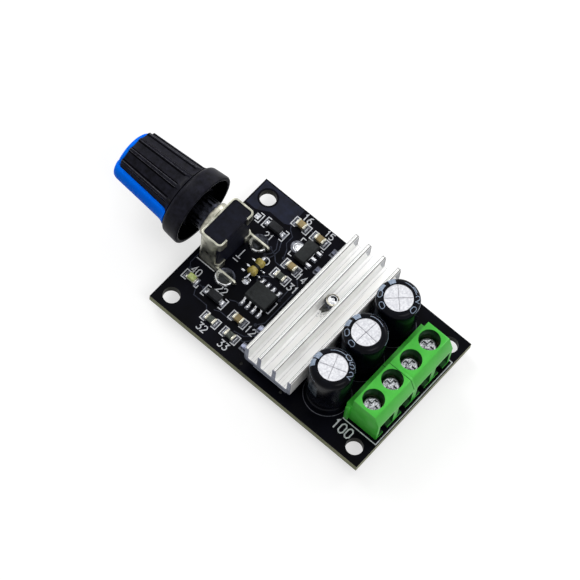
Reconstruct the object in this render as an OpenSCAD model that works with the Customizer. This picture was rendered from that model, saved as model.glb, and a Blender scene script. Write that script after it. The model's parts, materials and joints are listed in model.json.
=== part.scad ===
/* [Board] */
// Length of the circuit board
board_l = 48.5; // [47:0.5:56]
// Width of the circuit board
board_w = 31.8; // [31.5:0.1:38]
// Thickness of the circuit board
board_t = 1.6; // [1:0.1:2]
// Distance from the ends of the board to the centres of the mounting holes
hole_inset_x = 2.8; // [2.5:0.05:3.5]
// Distance from the sides of the board to the centres of the mounting holes
hole_inset_y = 2.75; // [2.5:0.05:3.5]
// Diameter of a mounting hole
mount_hole_d = 3.2; // [2.7:0.1:3.4]
// How far leads and pins reach below the board
lead_reach = 1.8; // [1.7:0.1:2.6]

/* [Potentiometer] */
// Width of the sheet-metal frame
pot_w = 9.5; // [9:0.1:10.2]
// Height of the frame above the board
pot_h = 10.1; // [9.8:0.1:11]
// Depth of the frame from front plate to rear tabs
pot_depth = 4.8; // [4.6:0.1:5.4]
// Thickness of the frame sheet
frame_t = 0.35; // [0.3:0.05:0.4]
// Height of the shaft axis above the board
shaft_h = 6.84; // [6.6:0.02:7]
// Diameter of the shaft
shaft_d = 6; // [5.6:0.1:6.4]
// Length of the shaft in front of the frame
shaft_l = 15; // [13:0.5:16]
// Number of splines round the shaft
spline_count = 18; // [12:1:24]
// Distance from the frame to the edge of the board
pot_edge_gap = 1.05; // [0.6:0.05:1.4]

/* [Knob] */
// Diameter of the skirt's rear rim
skirt_d = 14.94; // [14:0.1:16]
// Length of the skirt
skirt_l = 3.58; // [3:0.1:4]
// Overall length of the black knob body
knob_l = 16.54; // [15.5:0.1:18]
// Diameter of the grip where it leaves the skirt
grip_base_d = 11.6; // [11.2:0.1:12.4]
// Diameter of the grip at its front end
grip_end_d = 9.9; // [9.4:0.1:10.6]
// Number of ridges round the grip
ridge_count = 12; // [8:1:16]
// Height of a ridge
ridge_h = 0.3; // [0.2:0.05:0.4]
// Width of the pointer strip
pointer_w = 2.7; // [2:0.1:3.2]
// Pointer angle at rest, clockwise from straight up
pointer_angle = 78; // [0:1:140]

/* [Heat sink] */
// Length of the extrusion across the board
sink_l = 30; // [28:0.5:31]
// Width of the extrusion
sink_w = 10.6; // [10:0.1:10.8]
// Height from the underside to the fin tips
sink_h = 4.7; // [4:0.1:7]
// Thickness of the base
sink_base_t = 1.2; // [1:0.1:1.6]
// Thickness of a fin
fin_t = 0.85; // [0.6:0.05:1]

/* [Capacitors] */
// Outside diameter of the sleeve
cap_d = 8; // [7.4:0.1:8.1]
// Height above the board
cap_h = 12; // [9:0.5:16]
// Distance between capacitors
cap_pitch = 8.9; // [8.4:0.1:9.2]
// Diameter of the bare top of the can
cap_top_d = 5.25; // [4.6:0.05:5.8]

/* [Terminals] */
// Distance between neighbouring screws
pole_pitch = 5.08; // [5:0.02:5.2]
// Height of a block above the board
block_h = 8.35; // [8:0.05:9.5]
// Height at which the slanted front face starts
bevel_z = 5.9; // [5.6:0.1:6.4]
// Depth of the slanted front face
bevel_run = 1.1; // [0.8:0.1:1.4]
// Diameter of a screw access hole
access_d = 4; // [3.8:0.05:4.1]
// Width of a wire entry
entry_w = 3.9; // [3.7:0.05:4]
// Distance from the front of the blocks to the board edge
block_edge_gap = 0.85; // [0.5:0.05:1.2]
// Diameter of a terminal screw's head
screw_head_d = 3.6; // [3.2:0.05:3.7]
// Travel of the wire clamps
clamp_travel = 2; // [1.5:0.1:2]

/* [Hidden] */
$fn = 64;

// Shared values
overrun = 0.5;
run_gap = 0.03;
fit_gap = 0.05;
pad_t = 0.06;
pad_margin = 0.3;
solder_h = 1;
solder_tip_margin = 0.12;
solder_foot_margin = 0.55;
lead_gap = 0.2;
seat_z = board_t + pad_t;

// Places of the tall parts across the board, as shares of its width
pot_y_share = 0.0157;
sink_y_share = 0.0157;
cap_y_share = 0.0057;
block_y_share = 0.0126;

// Places of the small parts, as shares of the free length behind the potentiometer and of the width
led_place_shares = [-0.1728, -0.259];
chip_place_shares = [0.6038, -0.09];
regulator_place_shares = [0.6232, 0.292];
link_place_shares = [0.3235, 0.02];
diode_place_shares = [[0.1334, 0.291], [0.1914, -0.261]];
chip_cap_place_shares = [[0.6103, 0.171], [0.591, -0.274], [0.6264, 0.41], [0.3364, 0.409]];
resistor_place_shares = [[0.591, 0.085], [0.3493, -0.379], [0.6522, -0.379]];

// Places of the vias, as shares of the heat sink's width and of the board's width
via_place_shares = [[-0.5226, -0.462], [0.301, -0.445]];

// Clearances between neighbours along the board
cap_block_gap = 0.8;
sink_cap_gap = 0.15;

// Potentiometer
pot_x = -board_l / 2 + pot_edge_gap;
pot_y = board_w * pot_y_share;
pot_axis_z = board_t + shaft_h;
frame_corner_r = 0.9;
rear_tab_w = 2;
rear_tab_h = 2.2;
lug_l = 4.2;
lug_h = 1.4;
lug_pin_w = 2;
lug_pin_setback = 1.65;
lug_hole_d = 2.7;
housing_lift = 0.3;
housing_top_gap = 0.2;
housing_wall = 0.9;
housing_depth = pot_depth - 2 * frame_t;
bushing_d = 7;
bushing_l = 1;
bushing_floor = 0.15;
spigot_d = 4.8;
spigot_l = 0.5;
neck_d = 3.6;
rotor_d = 4.9;
rotor_t = 1.2;
rotor_gap = 0.1;
drive_d = 3;
drive_flat = 1;
pivot_d = 1.6;
pivot_l = 0.4;
track_t = 0.1;
track_in_d = 2.8;
track_out_d = 4.6;
track_sweep = 300;
wiper_t = 0.1;
wiper_in_d = 2.4;
finger_in_d = 3.3;
finger_out_d = 3.9;
finger_sweep = 14;
pot_pin_w = 0.8;
pot_pin_t = 0.3;
pot_pin_pitch = 2.5;
pot_pin_socket = 0.5;
pot_pin_setback = 2.3;
pot_pin_offsets = [-pot_pin_pitch, 0, pot_pin_pitch];
spline_depth = 0.25;
spline_smooth_l = 1.6;
slot_w = 0.9;
slot_l = 6;
cavity_front = frame_t + housing_wall;
cavity_back = frame_t + housing_depth - housing_wall;
rotor_front = cavity_front + rotor_gap;
rotor_back = rotor_front + rotor_t;

// Knob
knob_start = 3.22;
skirt_front_d = 14.36;
skirt_bore_d = 13.2;
skirt_bore_l = 4;
shoulder_l = 1.1;
rim_round = 0.3;
shoulder_round = 0.5;
end_round = 0.5;
ridge_w = 0.75;
grip_wall = 1.1;
hub_d = 8;
hub_inset = 0.9;
hub_gap = 0.02;
web_w = 0.8;
web_count = 4;
core_end_wall = 2.2;
cap_plug_l = 0.6;
dome_h = 1.14;
dome_d = 9.4;
pointer_depth = 0.7;
pointer_proud = 0.35;
knob_end = knob_start + knob_l;
shoulder_start = knob_start + skirt_l;
grip_start = shoulder_start + shoulder_l;
hub_end = shaft_l + hub_inset;
cap_plug_d = grip_end_d - 2 * pointer_depth + 2 * fit_gap;

// Heat sink and what it sits on
sink_y = board_w * sink_y_share;
fin_place_shares = [0, 0.296, 0.643, 1];
fin_round_share = 0.25;
fin_round = fin_t * fin_round_share;
channel_fillet = 0.3;
sink_corner_r = 0.7;
package_h = 2.3;
package_l = 6.1;
package_w = 6.6;
package_draft = 0.25;
package_inset = 0.3;
package_y_shares = [-0.342, 0.33];
package_lead_w = 0.8;
package_lead_t = 0.5;
package_lead_rise = 1.1;
package_lead_reach = 2.7;
package_foot = 1.3;
package_lead_pitch = 4.58;
package_tab_w = 5.3;
package_tab_l = 1.3;
package_pad_w = 1.7;
package_pad_l = 2;
pad_strip_w = 7.5;
pad_strip_t = 0.2;
sink_z = seat_z + package_h + pad_strip_t;
sink_screw_y_share = 0.1;
sink_screw_d = 2.4;
sink_screw_end_l = 2.9;
sink_screw_head_d = 4.5;
sink_screw_head_h = 1.6;
sink_screw_dimple_d = 1.5;
sink_screw_dimple_l = 0.5;
sink_screw_y = sink_y + sink_screw_y_share * sink_l;
recess_w = 0.7;
recess_l = 2.4;
recess_deep = 0.8;

// Capacitors
cap_y = board_w * cap_y_share;
cap_indices = [1, 2, 3];
sleeve_t = 0.15;
can_wall = 0.25;
can_lift = 0.15;
can_round = 0.9;
beading_r = 0.8;
beading_depth = 0.35;
beading_z = 2;
bung_l = 1.3;
vent_w = 0.14;
vent_deep = 0.08;
vent_margin = 0.35;
vent_turns = [19, -4, 44];
cap_lead_d = 0.6;
cap_lead_pitch = 3.5;
winding_gap = 0.2;
can_r = cap_d / 2 - sleeve_t;
can_h = cap_h - can_lift;
bung_r = can_r - beading_depth - can_wall;

// Terminal blocks
block_x = board_l / 2 - block_edge_gap;
block_y = board_w * block_y_share;
block_w = 2 * pole_pitch;
block_depth = 5.95;
screw_setback = 3.6;
ledge_depth = 1.25;
ledge_h = 5.55;
key_h = 4.9;
key_proud = 0.5;
key_root_w = 0.6;
key_tip_w = 0.9;
key_gap = 0.05;
floor_t = 0.6;
entry_chamfer = 0.4;
cage_w = entry_w - 2 * fit_gap;
cage_back = 1.95;
cage_front = 1.9;
cage_floor_t = 0.55;
cage_roof_t = 0.75;
cage_wall_t = 0.4;
cage_round = 0.35;
clamp_t = 0.55;
clamp_w = 3;
clamp_back = 1.25;
clamp_front = 1.7;
clamp_lip = 0.3;
thread_d = 2.9;
thread_gap = 0.05;
screw_head_h = 1.05;
screw_head_round = 0.35;
rivet_neck_d = 1.4;
rivet_head_d = 2;
rivet_head_t = 0.2;
contact_pin_w = 1;
contact_pin_t = 0.8;
pin_slot_w = 1.2;
pole_indices = [1, 2, 3, 4];
screw_x = block_x - screw_setback;
block_back_x = block_x - block_depth - ledge_depth;
cage_floor_z = board_t + floor_t;
clamp_z = cage_floor_z + cage_floor_t + fit_gap;
cage_roof_z = clamp_z + clamp_t + clamp_travel + fit_gap;
head_z = cage_roof_z + cage_roof_t + fit_gap;

// Small parts on the board
chip_l = 4.9;
chip_w = 3.9;
chip_h = 1.45;
chip_lift = 0.12;
chip_draft = 0.14;
chip_lead_pitch = 1.27;
chip_columns = 4;
chip_lead_w = 0.42;
chip_lead_t = 0.2;
chip_lead_reach = 1.1;
chip_lead_rise = 0.85;
chip_foot = 0.55;
chip_mark_d = 0.7;
chip_mark_deep = 0.08;
chip_mark_inset = 0.8;
reg_l = 2.5;
reg_w = 4.5;
reg_h = 1.5;
reg_draft = 0.1;
reg_frame_t = 0.38;
reg_pin_w = 0.46;
reg_pin_reach = 0.95;
reg_pin_pitch = 1.5;
reg_tab_w = 1.7;
reg_tab_reach = 0.6;
reg_pad_d = 2.5;
reg_pad_setback = 2.1;
part_l = 2;
part_w = 1.25;
part_end_l = 0.42;
part_end_t = 0.03;
chip_cap_h = 0.85;
resistor_h = 0.5;
led_base_h = 0.35;
led_lens_h = 0.6;
led_lens_l = 1.5;
led_draft = 0.1;
diode_l = 2.7;
diode_w = 1.6;
diode_h = 1.15;
diode_draft = 0.1;
diode_lead_w = 0.9;
diode_lead_t = 0.18;
diode_lead_reach = 0.65;
diode_lead_rise = 0.6;
diode_foot = 0.4;
link_l = 3.3;
link_end_d = 1.9;
link_waist_d = 1.45;
link_end_share = 0.32;
link_lead_d = 0.5;
link_lead_pitch = 5.2;
link_bend_r = 0.7;
link_lift = 0.6;
via_d = 0.6;
lead_shoulder_share = 0.35;
pad_foot_margin = 0.35;

// Row of tall parts, packed from the terminal blocks towards the potentiometer
cap_x = block_back_x - cap_block_gap - cap_d / 2;
sink_x = cap_x - cap_d / 2 - sink_cap_gap - sink_w / 2;
package_x = sink_x - sink_w / 2 + package_inset + package_l / 2;
sink_screw_x = sink_x - sink_w / 2
    + (fin_t + (fin_place_shares[1] + fin_place_shares[2]) * (sink_w - fin_t)) / 2;
parts_x = pot_x + pot_depth;
parts_span = sink_x - sink_w / 2 - parts_x;

// Extrudes a side view, drawn as x and height, across the board
module across(w) {
    rotate([90, 0, 0]) linear_extrude(w, center = true) children();
}

// Extrudes an end view, drawn as y and height, along the board
module along(l) {
    rotate([90, 0, 90]) linear_extrude(l, center = true) children();
}

// Place of a small part in plan
function place(shares) = [parts_x + shares.x * parts_span, shares.y * board_w];

// Moves a part to its place on top of the pads
module at_place(shares) {
    translate(place(shares)) translate([0, 0, seat_z]) children();
}

// Moves what lies on the board itself to the place of a part
module pads_at(shares) {
    translate(place(shares)) translate([0, 0, board_t]) children();
}

// A slab that is centred in plan and stands on its base
module slab(l, w, h) {
    translate([-l / 2, -w / 2, 0]) cube([l, w, h]);
}

// Outline with drafted sides above and below a parting line
module drafted_outline(w, h, draft) {
    polygon([
        [-w / 2 + draft, 0], [w / 2 - draft, 0], [w / 2, h / 2],
        [w / 2 - draft, h], [-w / 2 + draft, h], [-w / 2, h / 2]
    ]);
}

// Moulded body with draft on all four sides
module moulded(l, w, h, draft) {
    intersection() {
        across(w + overrun) drafted_outline(l, h, draft);
        along(l + overrun) drafted_outline(w, h, draft);
    }
}

// Bent lead that leaves a body at x = 0 and ends in a foot
module gull_lead(reach, rise, foot, t, w) {
    knee = (reach - foot) * lead_shoulder_share;
    across(w) polygon([
        [0, rise], [knee, rise], [reach - foot, t], [reach, t],
        [reach, 0], [reach - foot - t / 2, 0], [knee - t / 2, rise - t], [0, rise - t]
    ]);
}

// Rectangle with round corners, made from exact arcs
module round_rect(l, w, r) {
    square([l - 2 * r, w], center = true);
    square([l, w - 2 * r], center = true);
    for (sx = [-1, 1], sy = [-1, 1])
        translate([sx * (l / 2 - r), sy * (w / 2 - r)]) circle(r);
}

// Cross recess for a screwdriver, cut downwards from z = 0
module cross_recess(l, w, deep) {
    for (turn = [0, 90])
        rotate([0, 0, turn]) translate([0, 0, -deep]) slab(l, w, deep + overrun);
}

// Half outline of a screw head with a round upper edge
module head_outline(d, h, r) {
    square([d / 2, h - r]);
    square([d / 2 - r, h]);
    translate([d / 2 - r, h - r]) circle(r);
}

// Centres of everything that is soldered through the board
function cap_centre(i) = [cap_x, cap_y + (i - 2) * cap_pitch];
function pole_y(i) = block_y + (i - 2) * pole_pitch - pole_pitch / 2;
function block_y_centre(i) = block_y + (i == 1 ? -block_w / 2 : block_w / 2);
function lug_y(side) = pot_y + side * (pot_w / 2 - frame_t / 2);
lug_x = pot_x + pot_depth + lug_pin_setback;
pot_pin_x = pot_x + pot_pin_setback;
link_x = place(link_place_shares).x;
link_y = place(link_place_shares).y;
cap_lead_spots = [for (i = cap_indices, s = [-1, 1]) cap_centre(i) + [s * cap_lead_pitch / 2, 0]];
link_lead_spots = [for (s = [-1, 1]) [link_x, link_y + s * link_lead_pitch / 2]];
pole_spots = [for (i = pole_indices) [screw_x, pole_y(i)]];
pot_pin_spots = [for (offset = pot_pin_offsets) [pot_pin_x, pot_y + offset]];
lug_spots = [for (side = [-1, 1]) [lug_x, lug_y(side)]];
// Round leads as centre and diameter, blades as centre, width and thickness
round_leads = concat(
    [for (p = cap_lead_spots) [p, cap_lead_d]],
    [for (p = link_lead_spots) [p, link_lead_d]]
);
blade_leads = concat(
    [for (p = pole_spots) [p, contact_pin_w, contact_pin_t]],
    [for (p = pot_pin_spots) [p, pot_pin_w, pot_pin_t]]
);

module circuit_board() {
    color("#15151a")
    difference() {
        slab(board_l, board_w, board_t);
        for (sx = [-1, 1], sy = [-1, 1])
            translate([sx * (board_l / 2 - hole_inset_x), sy * (board_w / 2 - hole_inset_y), -overrun])
                cylinder(d = mount_hole_d, h = board_t + 2 * overrun);
        for (lead = concat(round_leads, blade_leads))
            translate([lead[0].x, lead[0].y, -overrun])
                cylinder(d = lead[1] + 2 * lead_gap, h = board_t + 2 * overrun);
        for (spot = lug_spots)
            translate([spot.x, spot.y, -overrun])
                cylinder(d = lug_hole_d, h = board_t + 2 * overrun);
        for (shares = via_place_shares)
            translate([sink_x + shares.x * sink_w, shares.y * board_w, -overrun])
                cylinder(d = via_d, h = board_t + 2 * overrun);
        translate([sink_screw_x, sink_screw_y, -overrun])
            cylinder(d = sink_screw_d + 2 * lead_gap, h = board_t + 2 * overrun);
    }
}

// Two pads in line with a part that lies along the board
module pad_pair(shares, span, l, w) {
    pads_at(shares)
        for (s = [-1, 1])
            translate([s * span / 2, 0, 0]) slab(l, w, pad_t);
}

module surface_pads() {
    part_pad_l = part_end_l + 2 * pad_margin;
    for (shares = concat(chip_cap_place_shares, resistor_place_shares, [led_place_shares]))
        pad_pair(shares, part_l, part_pad_l, part_w + pad_margin);
    for (shares = diode_place_shares)
        pad_pair(shares, diode_l + 2 * diode_lead_reach - diode_foot, diode_foot + 2 * pad_foot_margin,
            diode_lead_w + pad_margin);
    pads_at(chip_place_shares)
        for (column = [0:chip_columns - 1], s = [-1, 1])
            translate([(column - (chip_columns - 1) / 2) * chip_lead_pitch,
                s * (chip_w / 2 + chip_lead_reach - chip_foot / 2), 0])
                slab(chip_lead_w + pad_margin, chip_foot + 2 * pad_foot_margin, pad_t);
    pads_at(regulator_place_shares) {
        for (row = [-1:1])
            translate([reg_l / 2 + reg_pin_reach / 2, row * reg_pin_pitch, 0])
                slab(reg_pin_reach + pad_margin, reg_pin_w + pad_margin, pad_t);
        translate([-reg_pad_setback, 0, 0]) cylinder(d = reg_pad_d, h = pad_t);
    }
    for (share = package_y_shares)
        translate([package_x, sink_y + share * sink_l, board_t]) {
            for (s = [-1, 1])
                translate([-package_l / 2 - package_lead_reach + package_pad_l / 2 - pad_margin / 2,
                    s * package_lead_pitch / 2, 0])
                    slab(package_pad_l, package_pad_w, pad_t);
            translate([package_tab_l, 0, 0]) slab(package_l + pad_margin, package_tab_w + pad_margin, pad_t);
        }
}

// Solder cones that grip the leads below the board
module lead_fillets() {
    for (lead = concat(round_leads, blade_leads))
        translate([lead[0].x, lead[0].y, -solder_h])
            cylinder(d1 = lead[1] + 2 * solder_tip_margin, d2 = lead[1] + 2 * solder_foot_margin,
                h = solder_h);
    for (spot = lug_spots)
        translate([spot.x, spot.y, -solder_h])
            cylinder(d1 = lug_pin_w + 2 * solder_tip_margin, d2 = lug_hole_d + solder_foot_margin,
                h = solder_h);
}

module solder_joints() {
    color("#c8ccd2") {
        surface_pads();
        difference() {
            lead_fillets();
            for (lead = round_leads)
                translate([lead[0].x, lead[0].y, -lead_reach])
                    cylinder(d = lead[1], h = lead_reach + overrun);
            for (lead = blade_leads)
                translate([lead[0].x, lead[0].y, -lead_reach])
                    slab(lead[2], lead[1], lead_reach + overrun);
            for (spot = lug_spots)
                translate([spot.x, spot.y, -lead_reach])
                    slab(lug_pin_w, frame_t, lead_reach + overrun);
        }
    }
}

// Puts a part on the shaft axis, with z towards the user and x up
module on_axis() {
    translate([pot_x, pot_y, pot_axis_z]) rotate([0, -90, 0]) children();
}

// Closed ring of sheet with round corners, from which the frame is cut
module frame_ring() {
    translate([pot_depth / 2, 0]) difference() {
        round_rect(pot_depth, pot_w, frame_corner_r);
        round_rect(pot_depth - 2 * frame_t, pot_w - 2 * frame_t, frame_corner_r - frame_t);
    }
}

// Plan of the frame: front plate, round front corners and side plates
module frame_plan() {
    intersection() {
        frame_ring();
        translate([0, -pot_w / 2]) square([pot_depth - frame_corner_r, pot_w]);
    }
}

// Ear that folds in behind the housing, at one corner
module rear_ear(side) {
    intersection() {
        frame_ring();
        translate([pot_depth / 2, side > 0 ? pot_w / 2 - rear_tab_w : -pot_w / 2])
            square([pot_depth, rear_tab_w]);
    }
}

module pot_frame() {
    plate_l = pot_depth - frame_corner_r;
    color("#d9d6c4")
    difference() {
        translate([pot_x, pot_y, board_t]) {
            linear_extrude(pot_h) frame_plan();
            for (side = [-1, 1]) {
                linear_extrude(rear_tab_h) rear_ear(side);
                translate([0, 0, pot_h - rear_tab_h]) linear_extrude(rear_tab_h) rear_ear(side);
                translate([plate_l, lug_y(side) - pot_y - frame_t / 2, 0])
                    rotate([90, 0, 0]) translate([0, 0, -frame_t]) linear_extrude(frame_t) lug_outline();
            }
        }
        on_axis() translate([0, 0, -frame_t - overrun])
            cylinder(d = spigot_d, h = frame_t + 2 * overrun);
    }
}

// Side view of a lug: a foot behind the side plate with a tongue through the board
module lug_outline() {
    foot_l = frame_corner_r + lug_l;
    tongue_x = lug_x - pot_x - pot_depth + frame_corner_r;
    square([foot_l - lug_h / 2, lug_h]);
    translate([foot_l - lug_h / 2, lug_h / 2]) circle(d = lug_h);
    translate([tongue_x - lug_pin_w / 2, -board_t - lead_reach])
        square([lug_pin_w, board_t + lead_reach + lug_h / 2]);
}

module pot_bushing() {
    color("#b9b7ab")
    on_axis() rotate_extrude()
        difference() {
            union() {
                square([bushing_d / 2, bushing_l]);
                translate([0, -frame_t - spigot_l]) square([spigot_d / 2, frame_t + spigot_l + fit_gap]);
            }
            translate([0, -frame_t - spigot_l - overrun])
                square([neck_d / 2 + run_gap, frame_t + spigot_l + bushing_floor + 2 * overrun]);
            translate([0, bushing_floor]) square([shaft_d / 2 + run_gap, bushing_l]);
        }
}

module pot_housing() {
    housing_h = pot_h - housing_lift - housing_top_gap;
    color("#26282e")
    difference() {
        translate([pot_x + frame_t + housing_depth / 2, pot_y, board_t + housing_lift])
            linear_extrude(housing_h)
                round_rect(housing_depth, pot_w - 2 * frame_t, frame_corner_r - frame_t);
        on_axis() {
            translate([0, 0, -cavity_back])
                cylinder(d = rotor_d + 2 * rotor_gap, h = cavity_back - cavity_front);
            translate([0, 0, -cavity_front - overrun])
                cylinder(d = neck_d + 2 * rotor_gap, h = housing_wall + 2 * overrun);
            translate([0, 0, -frame_t - spigot_l]) cylinder(d = spigot_d, h = spigot_l + overrun);
            translate([0, 0, -cavity_back - pivot_l - fit_gap])
                cylinder(d = pivot_d + 2 * run_gap, h = pivot_l + fit_gap + overrun);
        }
        for (spot = pot_pin_spots)
            translate([spot.x, spot.y, board_t]) slab(pot_pin_t, pot_pin_w, housing_lift + pot_pin_socket);
    }
}

module pot_track() {
    color("#1d1d1d")
    on_axis() translate([0, 0, -cavity_back])
        rotate([0, 0, 180 - track_sweep / 2 + 180])
            rotate_extrude(angle = track_sweep)
                translate([track_in_d / 2, 0]) square([(track_out_d - track_in_d) / 2, track_t]);
}

module pot_pins() {
    color("#cfd2d6")
    for (spot = pot_pin_spots)
        translate([spot.x, spot.y, -lead_reach])
            slab(pot_pin_t, pot_pin_w, lead_reach + board_t + housing_lift + pot_pin_socket);
}

// Section of the splined part of the shaft
module spline_section() {
    tooth_w = PI * shaft_d / spline_count / 2;
    circle(d = shaft_d - 2 * spline_depth);
    intersection() {
        circle(d = shaft_d);
        for (i = [0:spline_count - 1])
            rotate([0, 0, i * 360 / spline_count])
                translate([0, -tooth_w / 2]) square([shaft_d, tooth_w]);
    }
}

module drive_section() {
    intersection() {
        circle(d = drive_d);
        translate([-drive_d, -drive_d]) square([drive_d + drive_flat, 2 * drive_d]);
    }
}

module pot_shaft() {
    journal_start = bushing_floor + run_gap;
    color("#2f3136")
    on_axis() difference() {
        union() {
            translate([0, 0, journal_start]) cylinder(d = shaft_d, h = spline_smooth_l);
            translate([0, 0, journal_start + spline_smooth_l])
                linear_extrude(shaft_l - journal_start - spline_smooth_l) spline_section();
            translate([0, 0, -rotor_front]) cylinder(d = neck_d, h = rotor_front + journal_start);
            translate([0, 0, -rotor_back]) linear_extrude(rotor_back) drive_section();
            translate([0, 0, -cavity_back - pivot_l])
                cylinder(d = pivot_d, h = cavity_back + pivot_l - rotor_back);
        }
        translate([0, 0, shaft_l - slot_l]) slab(slot_w, shaft_d + overrun, slot_l + overrun);
    }
}

module pot_rotor() {
    color("#e8e4d8")
    on_axis() difference() {
        translate([0, 0, -rotor_back]) cylinder(d = rotor_d, h = rotor_t);
        translate([0, 0, -rotor_back - overrun]) linear_extrude(rotor_t + 2 * overrun) drive_section();
    }
}

module pot_wiper() {
    reach = cavity_back - track_t - fit_gap - rotor_back;
    color("#d9b45a")
    on_axis() rotate([0, 0, -pointer_angle]) {
        translate([0, 0, -rotor_back - wiper_t]) difference() {
            cylinder(d = track_out_d, h = wiper_t);
            translate([0, 0, -overrun]) cylinder(d = wiper_in_d, h = wiper_t + 2 * overrun);
        }
        for (turn = [-finger_sweep, finger_sweep])
            translate([0, 0, -rotor_back - reach]) rotate([0, 0, turn - finger_sweep / 2])
                rotate_extrude(angle = finger_sweep)
                    translate([finger_in_d / 2, 0]) square([(finger_out_d - finger_in_d) / 2, reach]);
    }
}

// Half outline of the grip's core, grown outwards for the ridges and the pointer
module grip_outline(grow) {
    polygon([
        [0, shoulder_start], [grip_base_d / 2 + grow, shoulder_start],
        [grip_base_d / 2 + grow, grip_start], [grip_end_d / 2 + grow, knob_end - end_round],
        [grip_end_d / 2 + grow - end_round, knob_end], [0, knob_end]
    ]);
}

// Half outline of the skirt with a round rear rim and a round, sloping shoulder
module skirt_outline() {
    polygon([
        [0, knob_start], [skirt_d / 2 - rim_round, knob_start], [skirt_d / 2, knob_start + rim_round],
        [skirt_front_d / 2, shoulder_start - shoulder_round],
        [skirt_front_d / 2 - shoulder_round, shoulder_start], [grip_base_d / 2, grip_start], [0, grip_start]
    ]);
    translate([skirt_d / 2 - rim_round, knob_start + rim_round]) circle(rim_round);
    translate([skirt_front_d / 2 - shoulder_round, shoulder_start - shoulder_round]) circle(shoulder_round);
}

// Slab of the grip that the pointer strip takes up
module pointer_zone(gap) {
    inner = grip_end_d / 2 - pointer_depth - gap;
    translate([inner, -pointer_w / 2 - gap, shoulder_start])
        cube([skirt_d / 2, pointer_w + 2 * gap, knob_l]);
}

module knob_shell() {
    rotate_extrude() skirt_outline();
    rotate_extrude() grip_outline(0);
    intersection() {
        rotate_extrude() grip_outline(ridge_h);
        for (i = [0:ridge_count - 1])
            rotate([0, 0, (i + 1 / 2) * 360 / ridge_count])
                translate([0, -ridge_w / 2, shoulder_start]) cube([skirt_d / 2, ridge_w, knob_l]);
    }
}

// Hollow between the hub and the grip, crossed by webs
module knob_hollow() {
    core_d = grip_end_d - 2 * grip_wall;
    core_top = knob_end - core_end_wall;
    translate([0, 0, knob_start - overrun]) cylinder(d = skirt_bore_d, h = skirt_bore_l + overrun);
    difference() {
        translate([0, 0, knob_start]) cylinder(d = core_d + grip_wall, h = core_top - knob_start);
        for (i = [0:web_count - 1])
            rotate([0, 0, (i + 1 / 2) * 360 / web_count])
                translate([0, -web_w / 2, knob_start + skirt_bore_l])
                    cube([skirt_d, web_w, knob_l]);
    }
}

module knob_body() {
    color("#1b1b1d")
    on_axis() rotate([0, 0, -pointer_angle]) difference() {
        union() {
            difference() {
                knob_shell();
                knob_hollow();
            }
            translate([0, 0, knob_start + hub_inset])
                cylinder(d = hub_d, h = knob_l - hub_inset - core_end_wall);
        }
        translate([0, 0, knob_start - overrun])
            cylinder(d = shaft_d + 2 * hub_gap, h = hub_end - knob_start + overrun);
        translate([0, 0, knob_end - cap_plug_l]) cylinder(d = cap_plug_d, h = cap_plug_l + overrun);
        pointer_zone(0);
    }
}

// Blue cap: a plug, a shallow dome and the pointer strip in one moulding
module knob_cap() {
    dome_r = (dome_d * dome_d / 4 + dome_h * dome_h) / (2 * dome_h);
    color("#0a50dc")
    on_axis() rotate([0, 0, -pointer_angle]) {
        translate([0, 0, knob_end - cap_plug_l]) cylinder(d = cap_plug_d, h = cap_plug_l);
        translate([0, 0, knob_end]) rotate_extrude() intersection() {
            translate([0, dome_h - dome_r]) circle(dome_r, $fn = 128);
            square([dome_d / 2, dome_h]);
        }
        intersection() {
            rotate_extrude() grip_outline(pointer_proud);
            pointer_zone(0);
        }
    }
}

// End view of the extrusion: base, fins, floor fillets and one round lower corner
module sink_profile() {
    difference() {
        square([sink_w, sink_base_t]);
        difference() {
            square(sink_corner_r);
            translate([sink_corner_r, sink_corner_r]) circle(sink_corner_r);
        }
    }
    for (share = fin_place_shares)
        translate([share * (sink_w - fin_t), sink_corner_r]) {
            square([fin_t, sink_h - sink_corner_r - fin_round]);
            translate([fin_round, 0]) square([fin_t - 2 * fin_round, sink_h - sink_corner_r]);
            for (x = [fin_round, fin_t - fin_round])
                translate([x, sink_h - sink_corner_r - fin_round]) circle(fin_round);
        }
    for (i = [0:len(fin_place_shares) - 2], s = [0, 1]) {
        wall_x = fin_place_shares[i + s] * (sink_w - fin_t) + (1 - s) * fin_t;
        turn_x = wall_x + (1 - 2 * s) * channel_fillet;
        difference() {
            translate([min(wall_x, turn_x), sink_base_t]) square(channel_fillet);
            translate([turn_x, sink_base_t + channel_fillet]) circle(channel_fillet);
        }
    }
}

module heat_sink() {
    color("#d4d6da")
    difference() {
        translate([sink_x - sink_w / 2, sink_y, sink_z]) across(sink_l) sink_profile();
        translate([sink_screw_x, sink_screw_y, sink_z - overrun])
            cylinder(d = sink_screw_d + 2 * fit_gap, h = sink_base_t + 2 * overrun);
    }
}

module thermal_pad() {
    color("#e4e6ea")
    difference() {
        translate([sink_x, sink_y, sink_z - pad_strip_t])
            translate([sink_w / 2 - fin_t - pad_strip_w / 2, 0, 0]) slab(pad_strip_w, sink_l, pad_strip_t);
        translate([sink_screw_x, sink_screw_y, sink_z - pad_strip_t - overrun])
            cylinder(d = sink_screw_d + 2 * fit_gap, h = pad_strip_t + 2 * overrun);
    }
}

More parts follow.
